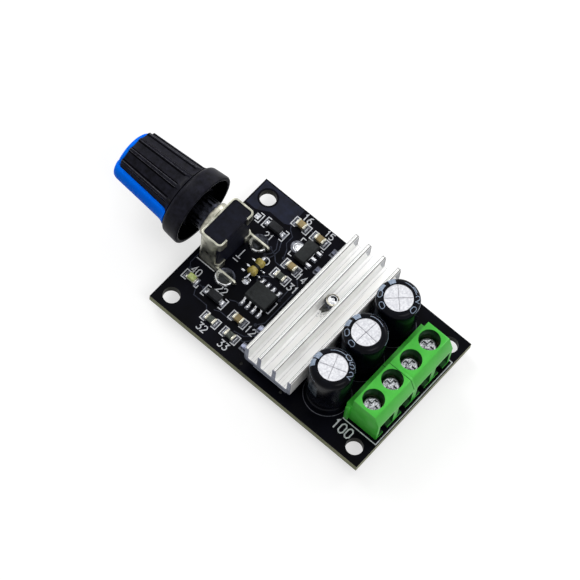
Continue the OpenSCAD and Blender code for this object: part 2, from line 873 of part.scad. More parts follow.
module heat_sink_screw() {
    shank_l = sink_z + sink_screw_end_l;
    color("#cfc9b4")
    translate([sink_screw_x, sink_screw_y, 0]) difference() {
        union() {
            mirror([0, 0, 1]) rotate_extrude()
                head_outline(sink_screw_head_d, sink_screw_head_h, sink_screw_head_h / 2);
            cylinder(d = sink_screw_d, h = shank_l);
        }
        mirror([0, 0, 1]) translate([0, 0, sink_screw_head_h]) cross_recess(recess_l, recess_w, recess_deep);
        translate([0, 0, shank_l - sink_screw_dimple_l])
            cylinder(d1 = sink_screw_dimple_d / 2, d2 = sink_screw_dimple_d, h = sink_screw_dimple_l);
    }
}

// Puts a power package under the heat sink, tab towards +X
module at_package(i) {
    translate([package_x, sink_y + package_y_shares[i] * sink_l, seat_z]) children();
}

module package_tab() {
    translate([package_draft, 0, 0]) translate([package_tab_l / 2, 0, 0])
        slab(package_l + package_tab_l - 2 * package_draft, package_tab_w, package_lead_t);
}

module package_body(i) {
    color("#232427")
    at_package(i) difference() {
        moulded(package_l, package_w, package_h, package_draft);
        package_tab();
    }
}

module package_leads(i) {
    color("#c9c7d4")
    at_package(i) {
        package_tab();
        for (s = [-1, 1])
            translate([-package_l / 2, s * package_lead_pitch / 2, 0])
                rotate([0, 0, 180])
                    gull_lead(package_lead_reach, package_lead_rise, package_foot, package_lead_t,
                        package_lead_w);
    }
}

module transistor_body() { package_body(0); }
module transistor_leads() { package_leads(0); }
module flyback_diode_body() { package_body(1); }
module flyback_diode_leads() { package_leads(1); }

// Half outline of a can with a round top edge and a beading groove near its foot
module can_outline(r, h, top_r, bead_r) {
    difference() {
        union() {
            square([r, h - top_r]);
            square([r - top_r, h]);
            translate([r - top_r, h - top_r]) circle(top_r);
        }
        translate([can_r + beading_r - beading_depth, beading_z]) circle(bead_r);
        translate([-2 * r, -overrun]) square([2 * r, h + 2 * overrun]);
    }
}

module at_capacitor(i, lift) {
    translate([cap_centre(i).x, cap_centre(i).y, board_t + lift]) children();
}

module capacitor_can(i) {
    outer_h = can_h - sleeve_t;
    color("#dfe3e8")
    at_capacitor(i, can_lift) difference() {
        rotate_extrude() difference() {
            can_outline(can_r, outer_h, can_round, beading_r);
            translate([0, -overrun]) square([bung_r, outer_h - can_wall + overrun]);
        }
        for (turn = [0, 90])
            rotate([0, 0, turn + vent_turns[i - 1]]) translate([0, 0, outer_h - vent_deep])
                slab(cap_top_d - vent_margin, vent_w, vent_deep + overrun);
    }
}

module capacitor_sleeve(i) {
    color("#17181d")
    at_capacitor(i, can_lift) rotate_extrude() difference() {
        can_outline(can_r + sleeve_t, can_h, can_round + sleeve_t, beading_r - sleeve_t);
        difference() {
            can_outline(can_r, can_h - sleeve_t, can_round, 0);
            translate([can_r + beading_r - beading_depth, beading_z]) circle(beading_r);
        }
        square([cap_top_d / 2, can_h + overrun]);
    }
}

module capacitor_bung(i) {
    color("#2a2a2a")
    at_capacitor(i, 0) difference() {
        cylinder(r = bung_r, h = can_lift + bung_l);
        for (s = [-1, 1])
            translate([s * cap_lead_pitch / 2, 0, -overrun])
                cylinder(d = cap_lead_d, h = can_lift + bung_l + 2 * overrun);
    }
}

module capacitor_leads(i) {
    color("#cfd2d6")
    for (s = [-1, 1])
        translate([cap_centre(i).x + s * cap_lead_pitch / 2, cap_centre(i).y, -lead_reach])
            cylinder(d = cap_lead_d, h = lead_reach + board_t + can_lift + bung_l + winding_gap);
}

module capacitor_windings() {
    winding_z = can_lift + bung_l + winding_gap;
    color("#b08a5a")
    for (i = cap_indices)
        at_capacitor(i, winding_z)
            cylinder(r = bung_r - winding_gap,
                h = cap_h - sleeve_t - can_wall - winding_gap - winding_z);
}

// Side view of a block, x from the screw axis towards the wire entry
module block_outline() {
    back = block_depth - screw_setback;
    polygon([
        [-back - ledge_depth, 0], [screw_setback, 0], [screw_setback, bevel_z],
        [screw_setback - bevel_run, block_h], [-back, block_h], [-back, ledge_h],
        [-back - ledge_depth, ledge_h]
    ]);
}

// Dovetail key in plan, wide at its tip, that joins neighbouring blocks
module key_plan(gap) {
    polygon([
        [-key_root_w / 2 - gap, overrun], [key_root_w / 2 + gap, overrun],
        [key_root_w / 2 + gap, 0], [key_tip_w / 2 + gap, -key_proud - gap],
        [-key_tip_w / 2 - gap, -key_proud - gap], [-key_root_w / 2 - gap, 0]
    ]);
}

// Chamber, wire entry, pin slot and access hole of one pole
module pole_cut() {
    chamber_back = cage_back + fit_gap;
    chamber_h = head_z - board_t - floor_t;
    translate([-chamber_back, -entry_w / 2, floor_t])
        cube([chamber_back + screw_setback + overrun, entry_w, chamber_h]);
    translate([screw_setback - entry_chamfer, 0, floor_t + chamber_h]) rotate([90, 0, 0])
        linear_extrude(entry_w, center = true)
            polygon([[0, -overrun], [entry_chamfer, -overrun], [entry_chamfer, entry_chamfer], [0, 0]]);
    translate([-contact_pin_t, -pin_slot_w / 2, -overrun])
        cube([contact_pin_t + screw_setback + overrun, pin_slot_w, floor_t + 2 * overrun]);
    translate([0, 0, floor_t + chamber_h - overrun]) cylinder(d = access_d, h = block_h);
}

module terminal_housing(i) {
    key_x = -block_depth + screw_setback - ledge_depth / 2;
    color("#3fb83a")
    translate([screw_x, block_y_centre(i), board_t]) {
        difference() {
            across(block_w) block_outline();
            for (s = [-1, 1]) translate([0, s * pole_pitch / 2, 0]) pole_cut();
            translate([key_x, block_w / 2, -overrun])
                linear_extrude(key_h + key_gap + overrun) key_plan(key_gap);
        }
        translate([key_x, -block_w / 2, 0]) linear_extrude(key_h)
            intersection() {
                key_plan(0);
                translate([-ledge_depth, -2 * key_proud]) square([2 * ledge_depth, 2 * key_proud]);
            }
    }
}

// Side view of the contact: one strip bent into a floor, a back and a roof
module cage_outline() {
    floor_low = cage_floor_z;
    roof_top = cage_roof_z + cage_roof_t;
    difference() {
        polygon([
            [-cage_back + cage_round, floor_low], [cage_front, floor_low],
            [cage_front, floor_low + cage_floor_t], [cage_front, roof_top],
            [-cage_back + cage_round, roof_top], [-cage_back, roof_top - cage_round],
            [-cage_back, floor_low + cage_round]
        ]);
        translate([-cage_back + cage_wall_t, floor_low + cage_floor_t])
            square([cage_front + cage_back, cage_roof_z - floor_low - cage_floor_t]);
    }
}

module terminal_contact(i) {
    color("#c9b37a")
    translate([screw_x, pole_y(i), 0]) difference() {
        union() {
            across(cage_w) cage_outline();
            translate([0, 0, -lead_reach])
                slab(contact_pin_t, contact_pin_w, lead_reach + cage_floor_z + fit_gap);
        }
        translate([0, 0, cage_roof_z - overrun])
            cylinder(d = thread_d + 2 * thread_gap, h = cage_roof_t + 2 * overrun);
    }
}

// Half outline of a terminal screw with the riveted tip that carries the clamp
module terminal_screw_outline() {
    clamp_top = clamp_z + clamp_t;
    translate([0, head_z]) head_outline(screw_head_d, screw_head_h, screw_head_round);
    translate([0, clamp_top + run_gap]) square([thread_d / 2, head_z - clamp_top - run_gap]);
    translate([0, clamp_z + fit_gap]) square([rivet_neck_d / 2, clamp_t]);
    translate([0, clamp_z + fit_gap]) square([rivet_head_d / 2, rivet_head_t]);
}

module terminal_screw(i) {
    color("#dcdee2")
    translate([screw_x, pole_y(i), 0]) difference() {
        rotate_extrude() terminal_screw_outline();
        translate([0, 0, head_z + screw_head_h]) cross_recess(recess_l, recess_w, recess_deep);
    }
}

module wire_clamp(i) {
    color("#b9bcc2")
    translate([screw_x, pole_y(i), 0]) difference() {
        translate([0, 0, clamp_z]) across(clamp_w) polygon([
            [-clamp_back, 0], [clamp_front - clamp_lip, 0], [clamp_front, clamp_lip],
            [clamp_front, clamp_t], [-clamp_back, clamp_t]
        ]);
        translate([0, 0, clamp_z - overrun])
            cylinder(d = rivet_neck_d + 2 * run_gap, h = clamp_t + 2 * overrun);
        translate([0, 0, clamp_z - overrun])
            cylinder(d = rivet_head_d + 2 * run_gap, h = overrun + rivet_head_t + 2 * fit_gap);
    }
}

module controller_chip_body() {
    color("#3a3d3d")
    at_place(chip_place_shares) difference() {
        translate([0, 0, chip_lift]) moulded(chip_l, chip_w, chip_h, chip_draft);
        translate([-chip_l / 2 + chip_mark_inset, -chip_w / 2 + chip_mark_inset,
            chip_lift + chip_h - chip_mark_deep])
            cylinder(d = chip_mark_d, h = chip_mark_deep + overrun);
    }
}

module controller_chip_leads() {
    color("#c8ccd2")
    at_place(chip_place_shares)
        for (column = [0:chip_columns - 1], side = [-1, 1])
            translate([(column - (chip_columns - 1) / 2) * chip_lead_pitch, side * chip_w / 2, 0])
                rotate([0, 0, side * 90])
                    gull_lead(chip_lead_reach, chip_lead_rise, chip_foot, chip_lead_t, chip_lead_w);
}

module regulator_frame() {
    for (row = [-1:1])
        translate([reg_l / 4 + reg_pin_reach / 2, row * reg_pin_pitch, 0])
            slab(reg_l / 2 + reg_pin_reach, reg_pin_w, reg_frame_t);
    translate([-reg_tab_reach / 2, 0, 0]) slab(reg_l + reg_tab_reach, reg_tab_w, reg_frame_t);
}

module regulator_body() {
    color("#33363a")
    at_place(regulator_place_shares) difference() {
        moulded(reg_l, reg_w, reg_h, reg_draft);
        regulator_frame();
    }
}

module regulator_leads() {
    color("#c8ccd2") at_place(regulator_place_shares) regulator_frame();
}

module led_base() {
    color("#d8dcc8")
    at_place(led_place_shares) slab(part_l - 2 * part_end_l, part_w, led_base_h);
}

module led_lens() {
    color("#b9cf5a")
    at_place(led_place_shares)
        translate([0, 0, led_base_h])
            intersection() {
                across(part_w) polygon([
                    [-led_lens_l / 2, 0], [led_lens_l / 2, 0], [led_lens_l / 2 - led_draft, led_lens_h],
                    [-led_lens_l / 2 + led_draft, led_lens_h]
                ]);
                along(part_l) polygon([
                    [-part_w / 2, 0], [part_w / 2, 0], [part_w / 2 - led_draft, led_lens_h],
                    [-part_w / 2 + led_draft, led_lens_h]
                ]);
            }
}

module chip_capacitors() {
    color("#be9656")
    for (shares = chip_cap_place_shares)
        at_place(shares) slab(part_l - 2 * part_end_l, part_w, chip_cap_h);
}

module chip_resistors() {
    color("#22242a")
    for (shares = resistor_place_shares)
        at_place(shares) slab(part_l - 2 * part_end_l, part_w, resistor_h);
}

// Pair of plated ends, a little proud of the body between them
module end_caps(h) {
    for (s = [-1, 1])
        translate([s * (part_l - part_end_l) / 2, 0, 0])
            slab(part_end_l, part_w + 2 * part_end_t, h + part_end_t);
}

module chip_end_caps() {
    color("#d5d8dc") {
        for (shares = chip_cap_place_shares) at_place(shares) end_caps(chip_cap_h);
        for (shares = resistor_place_shares) at_place(shares) end_caps(resistor_h);
        at_place(led_place_shares) end_caps(led_base_h - 2 * part_end_t);
    }
}

module diode_bodies() {
    color("#2b2d30")
    for (shares = diode_place_shares)
        at_place(shares) translate([0, 0, fit_gap]) moulded(diode_l, diode_w, diode_h, diode_draft);
}

module diode_leads() {
    color("#c8ccd2")
    for (shares = diode_place_shares, side = [0, 1])
        at_place(shares) rotate([0, 0, side * 180])
            translate([diode_l / 2, 0, 0])
                gull_lead(diode_lead_reach, diode_lead_rise, diode_foot, diode_lead_t, diode_lead_w);
}

// Puts the link's axis along y, above the board
module on_link_axis() {
    translate([link_x, link_y, board_t + link_lift + link_end_d / 2]) rotate([-90, 0, 0]) children();
}

module link_body() {
    end_l = link_l * link_end_share;
    edge = (link_end_d - link_waist_d) / 2;
    color("#c2a94e")
    on_link_axis() rotate_extrude() polygon([
        [0, -link_l / 2], [link_end_d / 2 - edge, -link_l / 2], [link_end_d / 2, -link_l / 2 + edge],
        [link_end_d / 2, -link_l / 2 + end_l - edge], [link_waist_d / 2, -link_l / 2 + end_l + edge],
        [link_waist_d / 2, link_l / 2 - end_l - edge], [link_end_d / 2, link_l / 2 - end_l + edge],
        [link_end_d / 2, link_l / 2 - edge], [link_end_d / 2 - edge, link_l / 2], [0, link_l / 2]
    ]);
}

module link_leads() {
    straight_l = (link_lead_pitch - link_l) / 2 - link_bend_r;
    drop_l = board_t + link_lift + link_end_d / 2 - link_bend_r + lead_reach;
    color("#cfd2d6")
    for (turn = [0, 180])
        translate([link_x, link_y, board_t + link_lift + link_end_d / 2]) rotate([0, 0, turn]) {
            translate([0, link_l / 2, 0]) rotate([-90, 0, 0]) cylinder(d = link_lead_d, h = straight_l);
            translate([0, link_l / 2 + straight_l, -link_bend_r]) rotate([0, 90, 0]) rotate([0, 0, 90])
                rotate_extrude(angle = 90) translate([link_bend_r, 0]) circle(d = link_lead_d, $fn = 32);
            translate([0, link_lead_pitch / 2, -link_bend_r - drop_l]) cylinder(d = link_lead_d, h = drop_l);
        }
}

circuit_board();
solder_joints();
pot_frame();
pot_bushing();
pot_housing();
pot_track();
pot_pins();
pot_shaft();
pot_rotor();
pot_wiper();
knob_body();
knob_cap();
heat_sink();
heat_sink_screw();
thermal_pad();
transistor_body();
transistor_leads();
flyback_diode_body();
flyback_diode_leads();
capacitor_can(1);  // capacitor_can_1
capacitor_can(2);  // capacitor_can_2
capacitor_can(3);  // capacitor_can_3
capacitor_sleeve(1);  // capacitor_sleeve_1
capacitor_sleeve(2);  // capacitor_sleeve_2
capacitor_sleeve(3);  // capacitor_sleeve_3
capacitor_bung(1);  // capacitor_bung_1
capacitor_bung(2);  // capacitor_bung_2
capacitor_bung(3);  // capacitor_bung_3
capacitor_leads(1);  // capacitor_leads_1
capacitor_leads(2);  // capacitor_leads_2
capacitor_leads(3);  // capacitor_leads_3
capacitor_windings();
terminal_housing(1);  // terminal_housing_1
terminal_housing(2);  // terminal_housing_2
terminal_contact(1);  // terminal_contact_1
terminal_contact(2);  // terminal_contact_2
terminal_contact(3);  // terminal_contact_3
terminal_contact(4);  // terminal_contact_4
terminal_screw(1);  // terminal_screw_1
terminal_screw(2);  // terminal_screw_2
terminal_screw(3);  // terminal_screw_3
terminal_screw(4);  // terminal_screw_4
wire_clamp(1);  // wire_clamp_1
wire_clamp(2);  // wire_clamp_2
wire_clamp(3);  // wire_clamp_3
wire_clamp(4);  // wire_clamp_4
controller_chip_body();
controller_chip_leads();
regulator_body();
regulator_leads();
led_base();
led_lens();
chip_capacitors();
chip_resistors();
chip_end_caps();
diode_bodies();
diode_leads();
link_body();
link_leads();
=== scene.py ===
"""Dresses the motor speed controller module and shows it from the photograph's angle."""
from contextlib import contextmanager
import json
import math

import bmesh
import bpy
from mathutils import Matrix, Vector, noise

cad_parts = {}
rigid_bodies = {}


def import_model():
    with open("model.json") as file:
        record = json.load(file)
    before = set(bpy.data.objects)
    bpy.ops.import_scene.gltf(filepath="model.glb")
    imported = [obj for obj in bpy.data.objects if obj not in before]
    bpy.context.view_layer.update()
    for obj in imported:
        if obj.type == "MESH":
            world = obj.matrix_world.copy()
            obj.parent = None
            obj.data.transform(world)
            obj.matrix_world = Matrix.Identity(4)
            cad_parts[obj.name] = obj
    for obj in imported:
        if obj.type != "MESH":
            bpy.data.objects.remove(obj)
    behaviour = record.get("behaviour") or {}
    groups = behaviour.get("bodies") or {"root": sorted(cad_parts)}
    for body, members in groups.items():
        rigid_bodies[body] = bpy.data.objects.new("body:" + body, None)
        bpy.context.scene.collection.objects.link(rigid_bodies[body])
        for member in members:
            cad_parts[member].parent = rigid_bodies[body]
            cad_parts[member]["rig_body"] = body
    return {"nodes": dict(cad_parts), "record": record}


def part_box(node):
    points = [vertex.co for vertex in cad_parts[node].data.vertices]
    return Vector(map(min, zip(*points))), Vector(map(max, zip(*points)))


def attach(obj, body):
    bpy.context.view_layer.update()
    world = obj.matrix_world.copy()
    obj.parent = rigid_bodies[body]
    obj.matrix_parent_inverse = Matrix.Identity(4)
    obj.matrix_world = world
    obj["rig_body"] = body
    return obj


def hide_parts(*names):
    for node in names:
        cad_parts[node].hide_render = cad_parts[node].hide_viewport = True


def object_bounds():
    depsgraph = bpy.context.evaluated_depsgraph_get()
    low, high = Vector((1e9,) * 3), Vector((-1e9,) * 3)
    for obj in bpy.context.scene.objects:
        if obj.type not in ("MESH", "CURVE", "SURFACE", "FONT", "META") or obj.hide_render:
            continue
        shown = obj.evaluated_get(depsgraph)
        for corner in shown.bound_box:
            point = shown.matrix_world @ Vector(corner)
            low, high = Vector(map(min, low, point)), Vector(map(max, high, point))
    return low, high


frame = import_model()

MM = 0.001
ROOT = "board_assembly"
KNOB = "knob_and_shaft"
cad_bounds = [list(corner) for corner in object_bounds()]
SLOT_OF = {part["node"]: part["material_slot"] for part in frame["record"]["subparts"]}

# View of the photograph
AIM_MM = (-6.93, 2.57, 0.0)
VIEW_DISTANCE = 0.5244
VIEW_AZIMUTH = 32.06
VIEW_ELEVATION = 65.19
VIEW_ROLL = 9.64
FOCAL_PX = 2921.0
PHOTO_PX = 580
SENSOR_MM = 36.0

# Places and sizes of solids that the scene's own pieces follow, corners in metres and the rest in millimetres
BOARD_LOW, BOARD_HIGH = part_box("circuit_board")
BOARD_L = (BOARD_HIGH.x - BOARD_LOW.x) / MM
BOARD_W = (BOARD_HIGH.y - BOARD_LOW.y) / MM
TOP = BOARD_HIGH.z / MM
SHAFT_LOW, SHAFT_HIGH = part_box("pot_shaft")
AXIS_Y = (SHAFT_LOW.y + SHAFT_HIGH.y) / 2 / MM
AXIS_Z = (SHAFT_LOW.z + SHAFT_HIGH.z) / 2 / MM
FRAME_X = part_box("pot_frame")[0].x / MM
POINTER_TURN = math.radians(78.0)
PRINT_H = 0.02
EDGE_SKIN = 0.1
GRAIN_DEPTH = 0.003
# Points this many metres apart or less become one
WELD = 2e-6
# Solids have edges above the first angle rounded, and shade smooth below the second
EDGE_ANGLE, SMOOTH_BELOW = 28.0, 35.0
BLOB_RINGS, BLOB_STEPS = 4, 14


def srgb(red, green, blue):
    """Linear colour from the usual 0 to 255 values."""
    def linear(value):
        value /= 255
        return value / 12.92 if value <= 0.04045 else ((value + 0.055) / 1.055) ** 2.4
    return (linear(red), linear(green), linear(blue), 1.0)


# Materials

def new_material(name):
    mat = bpy.data.materials.new(name)
    mat.use_nodes = True
    return mat, mat.node_tree, mat.node_tree.nodes["Principled BSDF"]


def feed(tree, node, inputs):
    """Sets a node's inputs, or links them where the value is another node's output."""
    for key, value in inputs.items():
        if isinstance(value, bpy.types.NodeSocket):
            tree.links.new(value, node.inputs[key])
        else:
            node.inputs[key].default_value = value


def made(tree, kind, inputs, output, **settings):
    """Output of a new node with the given inputs and settings."""
    node = tree.nodes.new("ShaderNode" + kind)
    for key, value in settings.items():
        setattr(node, key, value)
    feed(tree, node, inputs)
    return node.outputs[output]


def noise_field(tree, size_mm, stretch=(1, 1, 1), detail=5.0, roughness=0.55):
    """Noise whose features are size_mm across, drawn out along the axes where stretch is above 1."""
    scale = [1 / (size_mm * MM * s) for s in stretch]
    place = made(tree, "Mapping", {"Vector": made(tree, "TexCoord", {}, "Object"), "Scale": scale}, "Vector")
    look = {"Vector": place, "Scale": 1.0, "Detail": detail, "Roughness": roughness}
    return made(tree, "TexNoise", look, "Fac")


def ramp(tree, factor, low, high, start=0.3, end=0.7):
    """Colours from low to high as factor goes from start to end."""
    node = tree.nodes.new("ShaderNodeValToRGB")
    for stop, place, colour in zip(node.color_ramp.elements, (start, end), (low, high)):
        stop.position = place
        stop.color = srgb(*colour)
    tree.links.new(factor, node.inputs["Fac"])
    return node.outputs["Color"]


def spread(tree, factor, low, high, start=0.3, end=0.7):
    """Numbers from low to high as factor goes from start to end."""
    inputs = {"Value": factor, "From Min": start, "From Max": end, "To Min": low, "To Max": high}
    return made(tree, "MapRange", inputs, "Result")


def bump(tree, shader, height, depth_mm):
    """Relief as deep as depth_mm."""
    inputs = {"Height": height, "Strength": 1.0, "Distance": depth_mm * MM}
    feed(tree, shader, {"Normal": made(tree, "Bump", inputs, "Normal")})


def worked_out(tree, operation, *values):
    """Result of a math node whose inputs are sockets or numbers."""
    return made(tree, "Math", dict(enumerate(values)), "Value", operation=operation)


def coordinate(tree, kind, axis):
    """Size of one coordinate of a point or normal, without its sign."""
    place = made(tree, "TexCoord", {}, kind)
    return worked_out(tree, "ABSOLUTE", made(tree, "SeparateXYZ", {"Vector": place}, axis))


def side_mask(tree, axis, threshold):
    """One where the surface faces along an axis, zero elsewhere."""
    return worked_out(tree, "GREATER_THAN", coordinate(tree, "Normal", axis), threshold)


def within_board(tree):
    """One inside the board's outline, zero at its outer edges."""
    inside = [worked_out(tree, "LESS_THAN", coordinate(tree, "Object", axis), (span / 2 - EDGE_SKIN) * MM)
              for axis, span in (("X", BOARD_L), ("Y", BOARD_W))]
    return worked_out(tree, "MULTIPLY", *inside)


def blend_colors(tree, factor, first, second):
    return made(tree, "Mix", {"Factor": factor, "A": first, "B": second}, "Result", data_type="RGBA")


def board_material():
    """Black solder mask with a navy tint, bare glass-epoxy at the edges, and near-black walls in the holes
    that are painted shade.
    """
    mat, tree, shader = new_material("board_mask")
    mottle = ramp(tree, noise_field(tree, 5.0, detail=4.0), (2, 2, 5), (9, 10, 19), 0.35, 0.75)
    laminate = ramp(tree, noise_field(tree, 0.35, (6, 6, 0.5)), (92, 96, 70), (158, 160, 122))
    # The holes' walls are painted near-black as shade.
    painted_hole_shade = ramp(tree, noise_field(tree, 0.35, (1, 1, 0.5)), (8, 9, 4), (34, 35, 20))
    sides = blend_colors(tree, within_board(tree), laminate, painted_hole_shade)
    colour = blend_colors(tree, side_mask(tree, "Z", 0.5), sides, mottle)
    rough = spread(tree, noise_field(tree, 2.5, detail=6.0), 0.3, 0.46)
    feed(tree, shader, {"Base Color": colour, "Roughness": rough, "Specular IOR Level": 0.04})
    bump(tree, shader, noise_field(tree, 0.5, detail=3.0), 0.006)
    return mat


def sink_material():
    """Natural aluminium with drawing lines along the extrusion, and ends painted darker as shade, over saw
    marks.
    """
    mat, tree, shader = new_material("sink_aluminium")
    lines = noise_field(tree, 0.16, (1, 160, 1), detail=6.0, roughness=0.75)
    stains = noise_field(tree, 2.2, (1, 5, 1), detail=4.0)
    drawn = ramp(tree, lines, (158, 159, 164), (252, 252, 251), 0.3, 0.43)
    warm = blend_colors(tree, spread(tree, stains, 0.0, 0.4, 0.5, 0.75), drawn, srgb(236, 233, 224))
    # The ends' darker blue-grey is painted shade; the fine streaks across them stand for saw marks.
    sawn_and_shaded_end = ramp(tree, noise_field(tree, 0.25, (8, 1, 1)), (76, 80, 96), (142, 149, 166))
    colour = blend_colors(tree, side_mask(tree, "Y", 0.25), warm, sawn_and_shaded_end)
    rough = spread(tree, lines, 0.3, 0.46)
    feed(tree, shader, {"Base Color": colour, "Roughness": rough, "Metallic": 0.35})
    bump(tree, shader, lines, 0.01)
    return mat


def lens_material():
    """Yellow-green resin that lets a little light in."""
    mat, tree, shader = new_material("led_lens")
    cloud = ramp(tree, noise_field(tree, 0.5), (172, 194, 100), (226, 238, 164))
    feed(tree, shader, {"Base Color": cloud, "Roughness": 0.2, "Transmission Weight": 0.1})
    return mat


def surface(name, low, high, rough, size, grain, metallic, specular):
    """Finish whose colour and roughness drift over a noise, with a finer grain as relief."""
    mat, tree, shader = new_material(name)
    drift = noise_field(tree, size)
    feed(tree, shader, {"Base Color": ramp(tree, drift, low, high), "Roughness": spread(tree, drift, *rough),
                        "Metallic": metallic, "Specular IOR Level": specular})
    bump(tree, shader, noise_field(tree, grain, detail=3.0), GRAIN_DEPTH)
    return mat


def plastic(name, low, high, rough=(0.4, 0.5), size=3.0, specular=0.15):
    return surface(name, low, high, rough, size, 0.08, 0.0, specular)


def metal(name, low, high, rough=(0.22, 0.36), size=0.5):
    return surface(name, low, high, rough, size, 0.1, 1.0, 0.5)


# Dark and light colour, lowest and highest roughness, size of the drift and specular level. Names that are no
# slot are finishes of the scene's own pieces
METALS = {
    "solder": ((92, 95, 104), (232, 234, 238), (0.12, 0.28), 0.4),
    "frame_steel": ((124, 125, 113), (204, 203, 189), (0.24, 0.4), 1.6),
    "bushing_metal": ((128, 127, 114), (206, 203, 188), (0.28, 0.4), 0.8),
    "tinned_wire": ((150, 152, 160), (214, 216, 222), (0.2, 0.32)),
    "shaft_metal": ((6, 6, 9), (58, 60, 70), (0.24, 0.36), 0.8),
    "wiper_brass": ((196, 164, 92), (230, 204, 132)),
    "sink_screw_nickel": ((104, 99, 84), (244, 240, 226), (0.12, 0.22)),
    "package_tin": ((84, 88, 108), (158, 163, 182), (0.34, 0.5)),
    "can_aluminium": ((177, 178, 184), (215, 216, 219), (0.36, 0.46), 0.35),
    "contact_brass": ((150, 140, 108), (206, 198, 166)),
    "terminal_screw_nickel": ((58, 62, 66), (216, 219, 222), (0.1, 0.26), 0.26),
    "clamp_steel": ((150, 152, 158), (196, 198, 204)),
    "chip_tin": ((176, 178, 184), (240, 241, 244), (0.14, 0.28), 0.2),
    "end_plating": ((120, 120, 108), (222, 219, 204), (0.2, 0.34), 0.3),
    "score_shade": ((108, 107, 114), (168, 168, 174), (0.4, 0.5), 0.3),
    "pad_tin": ((30, 32, 38), (128, 131, 140), (0.2, 0.34), 0.5),
    "darker_tin": ((40, 42, 52), (96, 99, 112), (0.4, 0.5), 0.5),
    "bowl_shade": ((6, 6, 9), (84, 87, 94), (0.14, 0.24), 1.1),
    "bright_solder": ((168, 170, 176), (244, 245, 247), (0.14, 0.26), 0.4),
}
PLASTICS = {
    "black_housing": ((9, 10, 18), (23, 25, 38), (0.42, 0.56), 1.2, 0.08),
    "carbon_track": ((16, 16, 16), (30, 30, 30), (0.6, 0.7)),
    "rotor_plastic": ((206, 202, 186), (232, 228, 214)),
    "knob_black": ((10, 10, 15), (30, 30, 40), (0.34, 0.46), 0.9, 0.06),
    "knob_blue": ((0, 106, 252), (0, 120, 255), (0.4, 0.5), 4.0, 0.015),
    "thermal_sheet": ((176, 182, 196), (206, 210, 220), (0.6, 0.8)),
    "package_epoxy": ((24, 24, 27), (40, 40, 44), (0.5, 0.62)),
    "sleeve_film": ((2, 3, 7), (8, 10, 19), (0.16, 0.26), 2.0, 0.07),
    "bung_rubber": ((26, 26, 26), (40, 40, 40), (0.7, 0.85)),
    "winding_paper": ((150, 120, 84), (180, 150, 108), (0.7, 0.85)),
    "terminal_green": ((62, 182, 54), (80, 200, 70), (0.3, 0.4), 5.0, 0.3),
    "chip_epoxy": ((26, 28, 29), (42, 45, 46), (0.5, 0.62), 0.6),
    "led_base": ((206, 212, 184), (226, 230, 206)),
    "capacitor_ceramic": ((106, 96, 66), (168, 148, 106), (0.3, 0.42), 1.8),
    "resistor_film": ((44, 48, 46), (92, 98, 92), (0.3, 0.45), 0.4),
    "link_ceramic": ((134, 118, 48), (192, 174, 92), (0.28, 0.4), 0.5, 0.4),
    "white_print": ((176, 180, 186), (226, 228, 232), (0.6, 0.7), 0.35),
    "faint_print": ((62, 64, 72), (110, 112, 120), (0.6, 0.7), 0.35),
    "covered_copper": ((24, 27, 38), (52, 57, 72), (0.3, 0.4), 0.7),
    "copper_area": ((5, 7, 19), (19, 25, 46), (0.3, 0.42), 1.6),
    "sleeve_ink_and_highlight": ((112, 128, 152), (168, 182, 200), (0.3, 0.45), 0.3),
    "sleeve_sheen": ((24, 30, 40), (58, 68, 76), (0.2, 0.3), 0.8),
    "diode_epoxy": ((12, 12, 15), (36, 38, 42), (0.5, 0.62), 0.9),
    "screw_shadow_dark": ((44, 46, 48), (120, 120, 116), (0.4, 0.6), 0.5),
    "painted_shade_black": ((3, 3, 4), (6, 6, 8), (0.8, 0.9), 3.0, 0.0),
    "painted_ridge_highlight": ((52, 52, 58), (100, 100, 108), (0.3, 0.4), 0.5),
    "hole_wall_shade": ((8, 44, 16), (22, 84, 30), (0.35, 0.5), 1.0),
    "joint_green": ((10, 60, 18), (16, 78, 24), (0.5, 0.6), 1.0),
    "channel_shade": ((166, 168, 174), (216, 217, 220), (0.4, 0.6), 0.6),
    "fin_shade": ((88, 88, 88), (142, 142, 140), (0.4, 0.6), 1.4),
    "band_black": ((14, 13, 10), (26, 24, 20), (0.3, 0.4), 0.6),
}
MATERIALS = {slot: metal(slot, *row) for slot, row in METALS.items()}
MATERIALS.update((slot, plastic(slot, *row)) for slot, row in PLASTICS.items())
MATERIALS.update(board_mask=board_material(), sink_aluminium=sink_material(), led_lens=lens_material())


# Mesh helpers

@contextmanager
def editing(mesh):
    """Opens a mesh for editing and writes it back."""
    form = bmesh.new()
    form.from_mesh(mesh)
    yield form
    form.to_mesh(mesh)
    form.free()


def linked(name, data):
    """Object in the scene that holds a mesh, lamp or camera."""
    obj = bpy.data.objects.new(name, data)
    bpy.context.scene.collection.objects.link(obj)
    return obj


def piece(name, mesh, look, body=ROOT, smooth=40.0):
    """Links a mesh as a piece that rides on a body. Faces shade smooth below the given angle."""
    mesh.name = name
    obj = linked(name, mesh)
    mesh.materials.clear()
    mesh.materials.append(MATERIALS[look])
    soften(mesh, smooth)
    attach(obj, body)
    return obj


def recoloured(mesh, look, chosen):
    """Gives the faces that pass a test on their middle and normal another finish."""
    mesh.materials.append(MATERIALS[look])
    for face in mesh.polygons:
        if chosen(face.center / MM, face.normal):
            face.material_index = 1


def soften(mesh, angle):
    """Smooth shading with sharp edges where faces meet at more than the angle."""
    with editing(mesh) as form:
        for face in form.faces:
            face.smooth = True
        for edge in form.edges:
            edge.smooth = len(edge.link_faces) == 2 and edge.calc_face_angle(0.0) < math.radians(angle)


def mesh_from(verts, faces):
    """Mesh from points in millimetres, with its faces turned outwards."""
    mesh = bpy.data.meshes.new("mesh")
    mesh.from_pydata([Vector(v) * MM for v in verts], [], faces)
    with editing(mesh) as form:
        bmesh.ops.remove_doubles(form, verts=form.verts, dist=1e-7)
        bmesh.ops.dissolve_degenerate(form, dist=1e-7, edges=form.edges)
        bmesh.ops.recalc_face_normals(form, faces=form.faces)
    return mesh


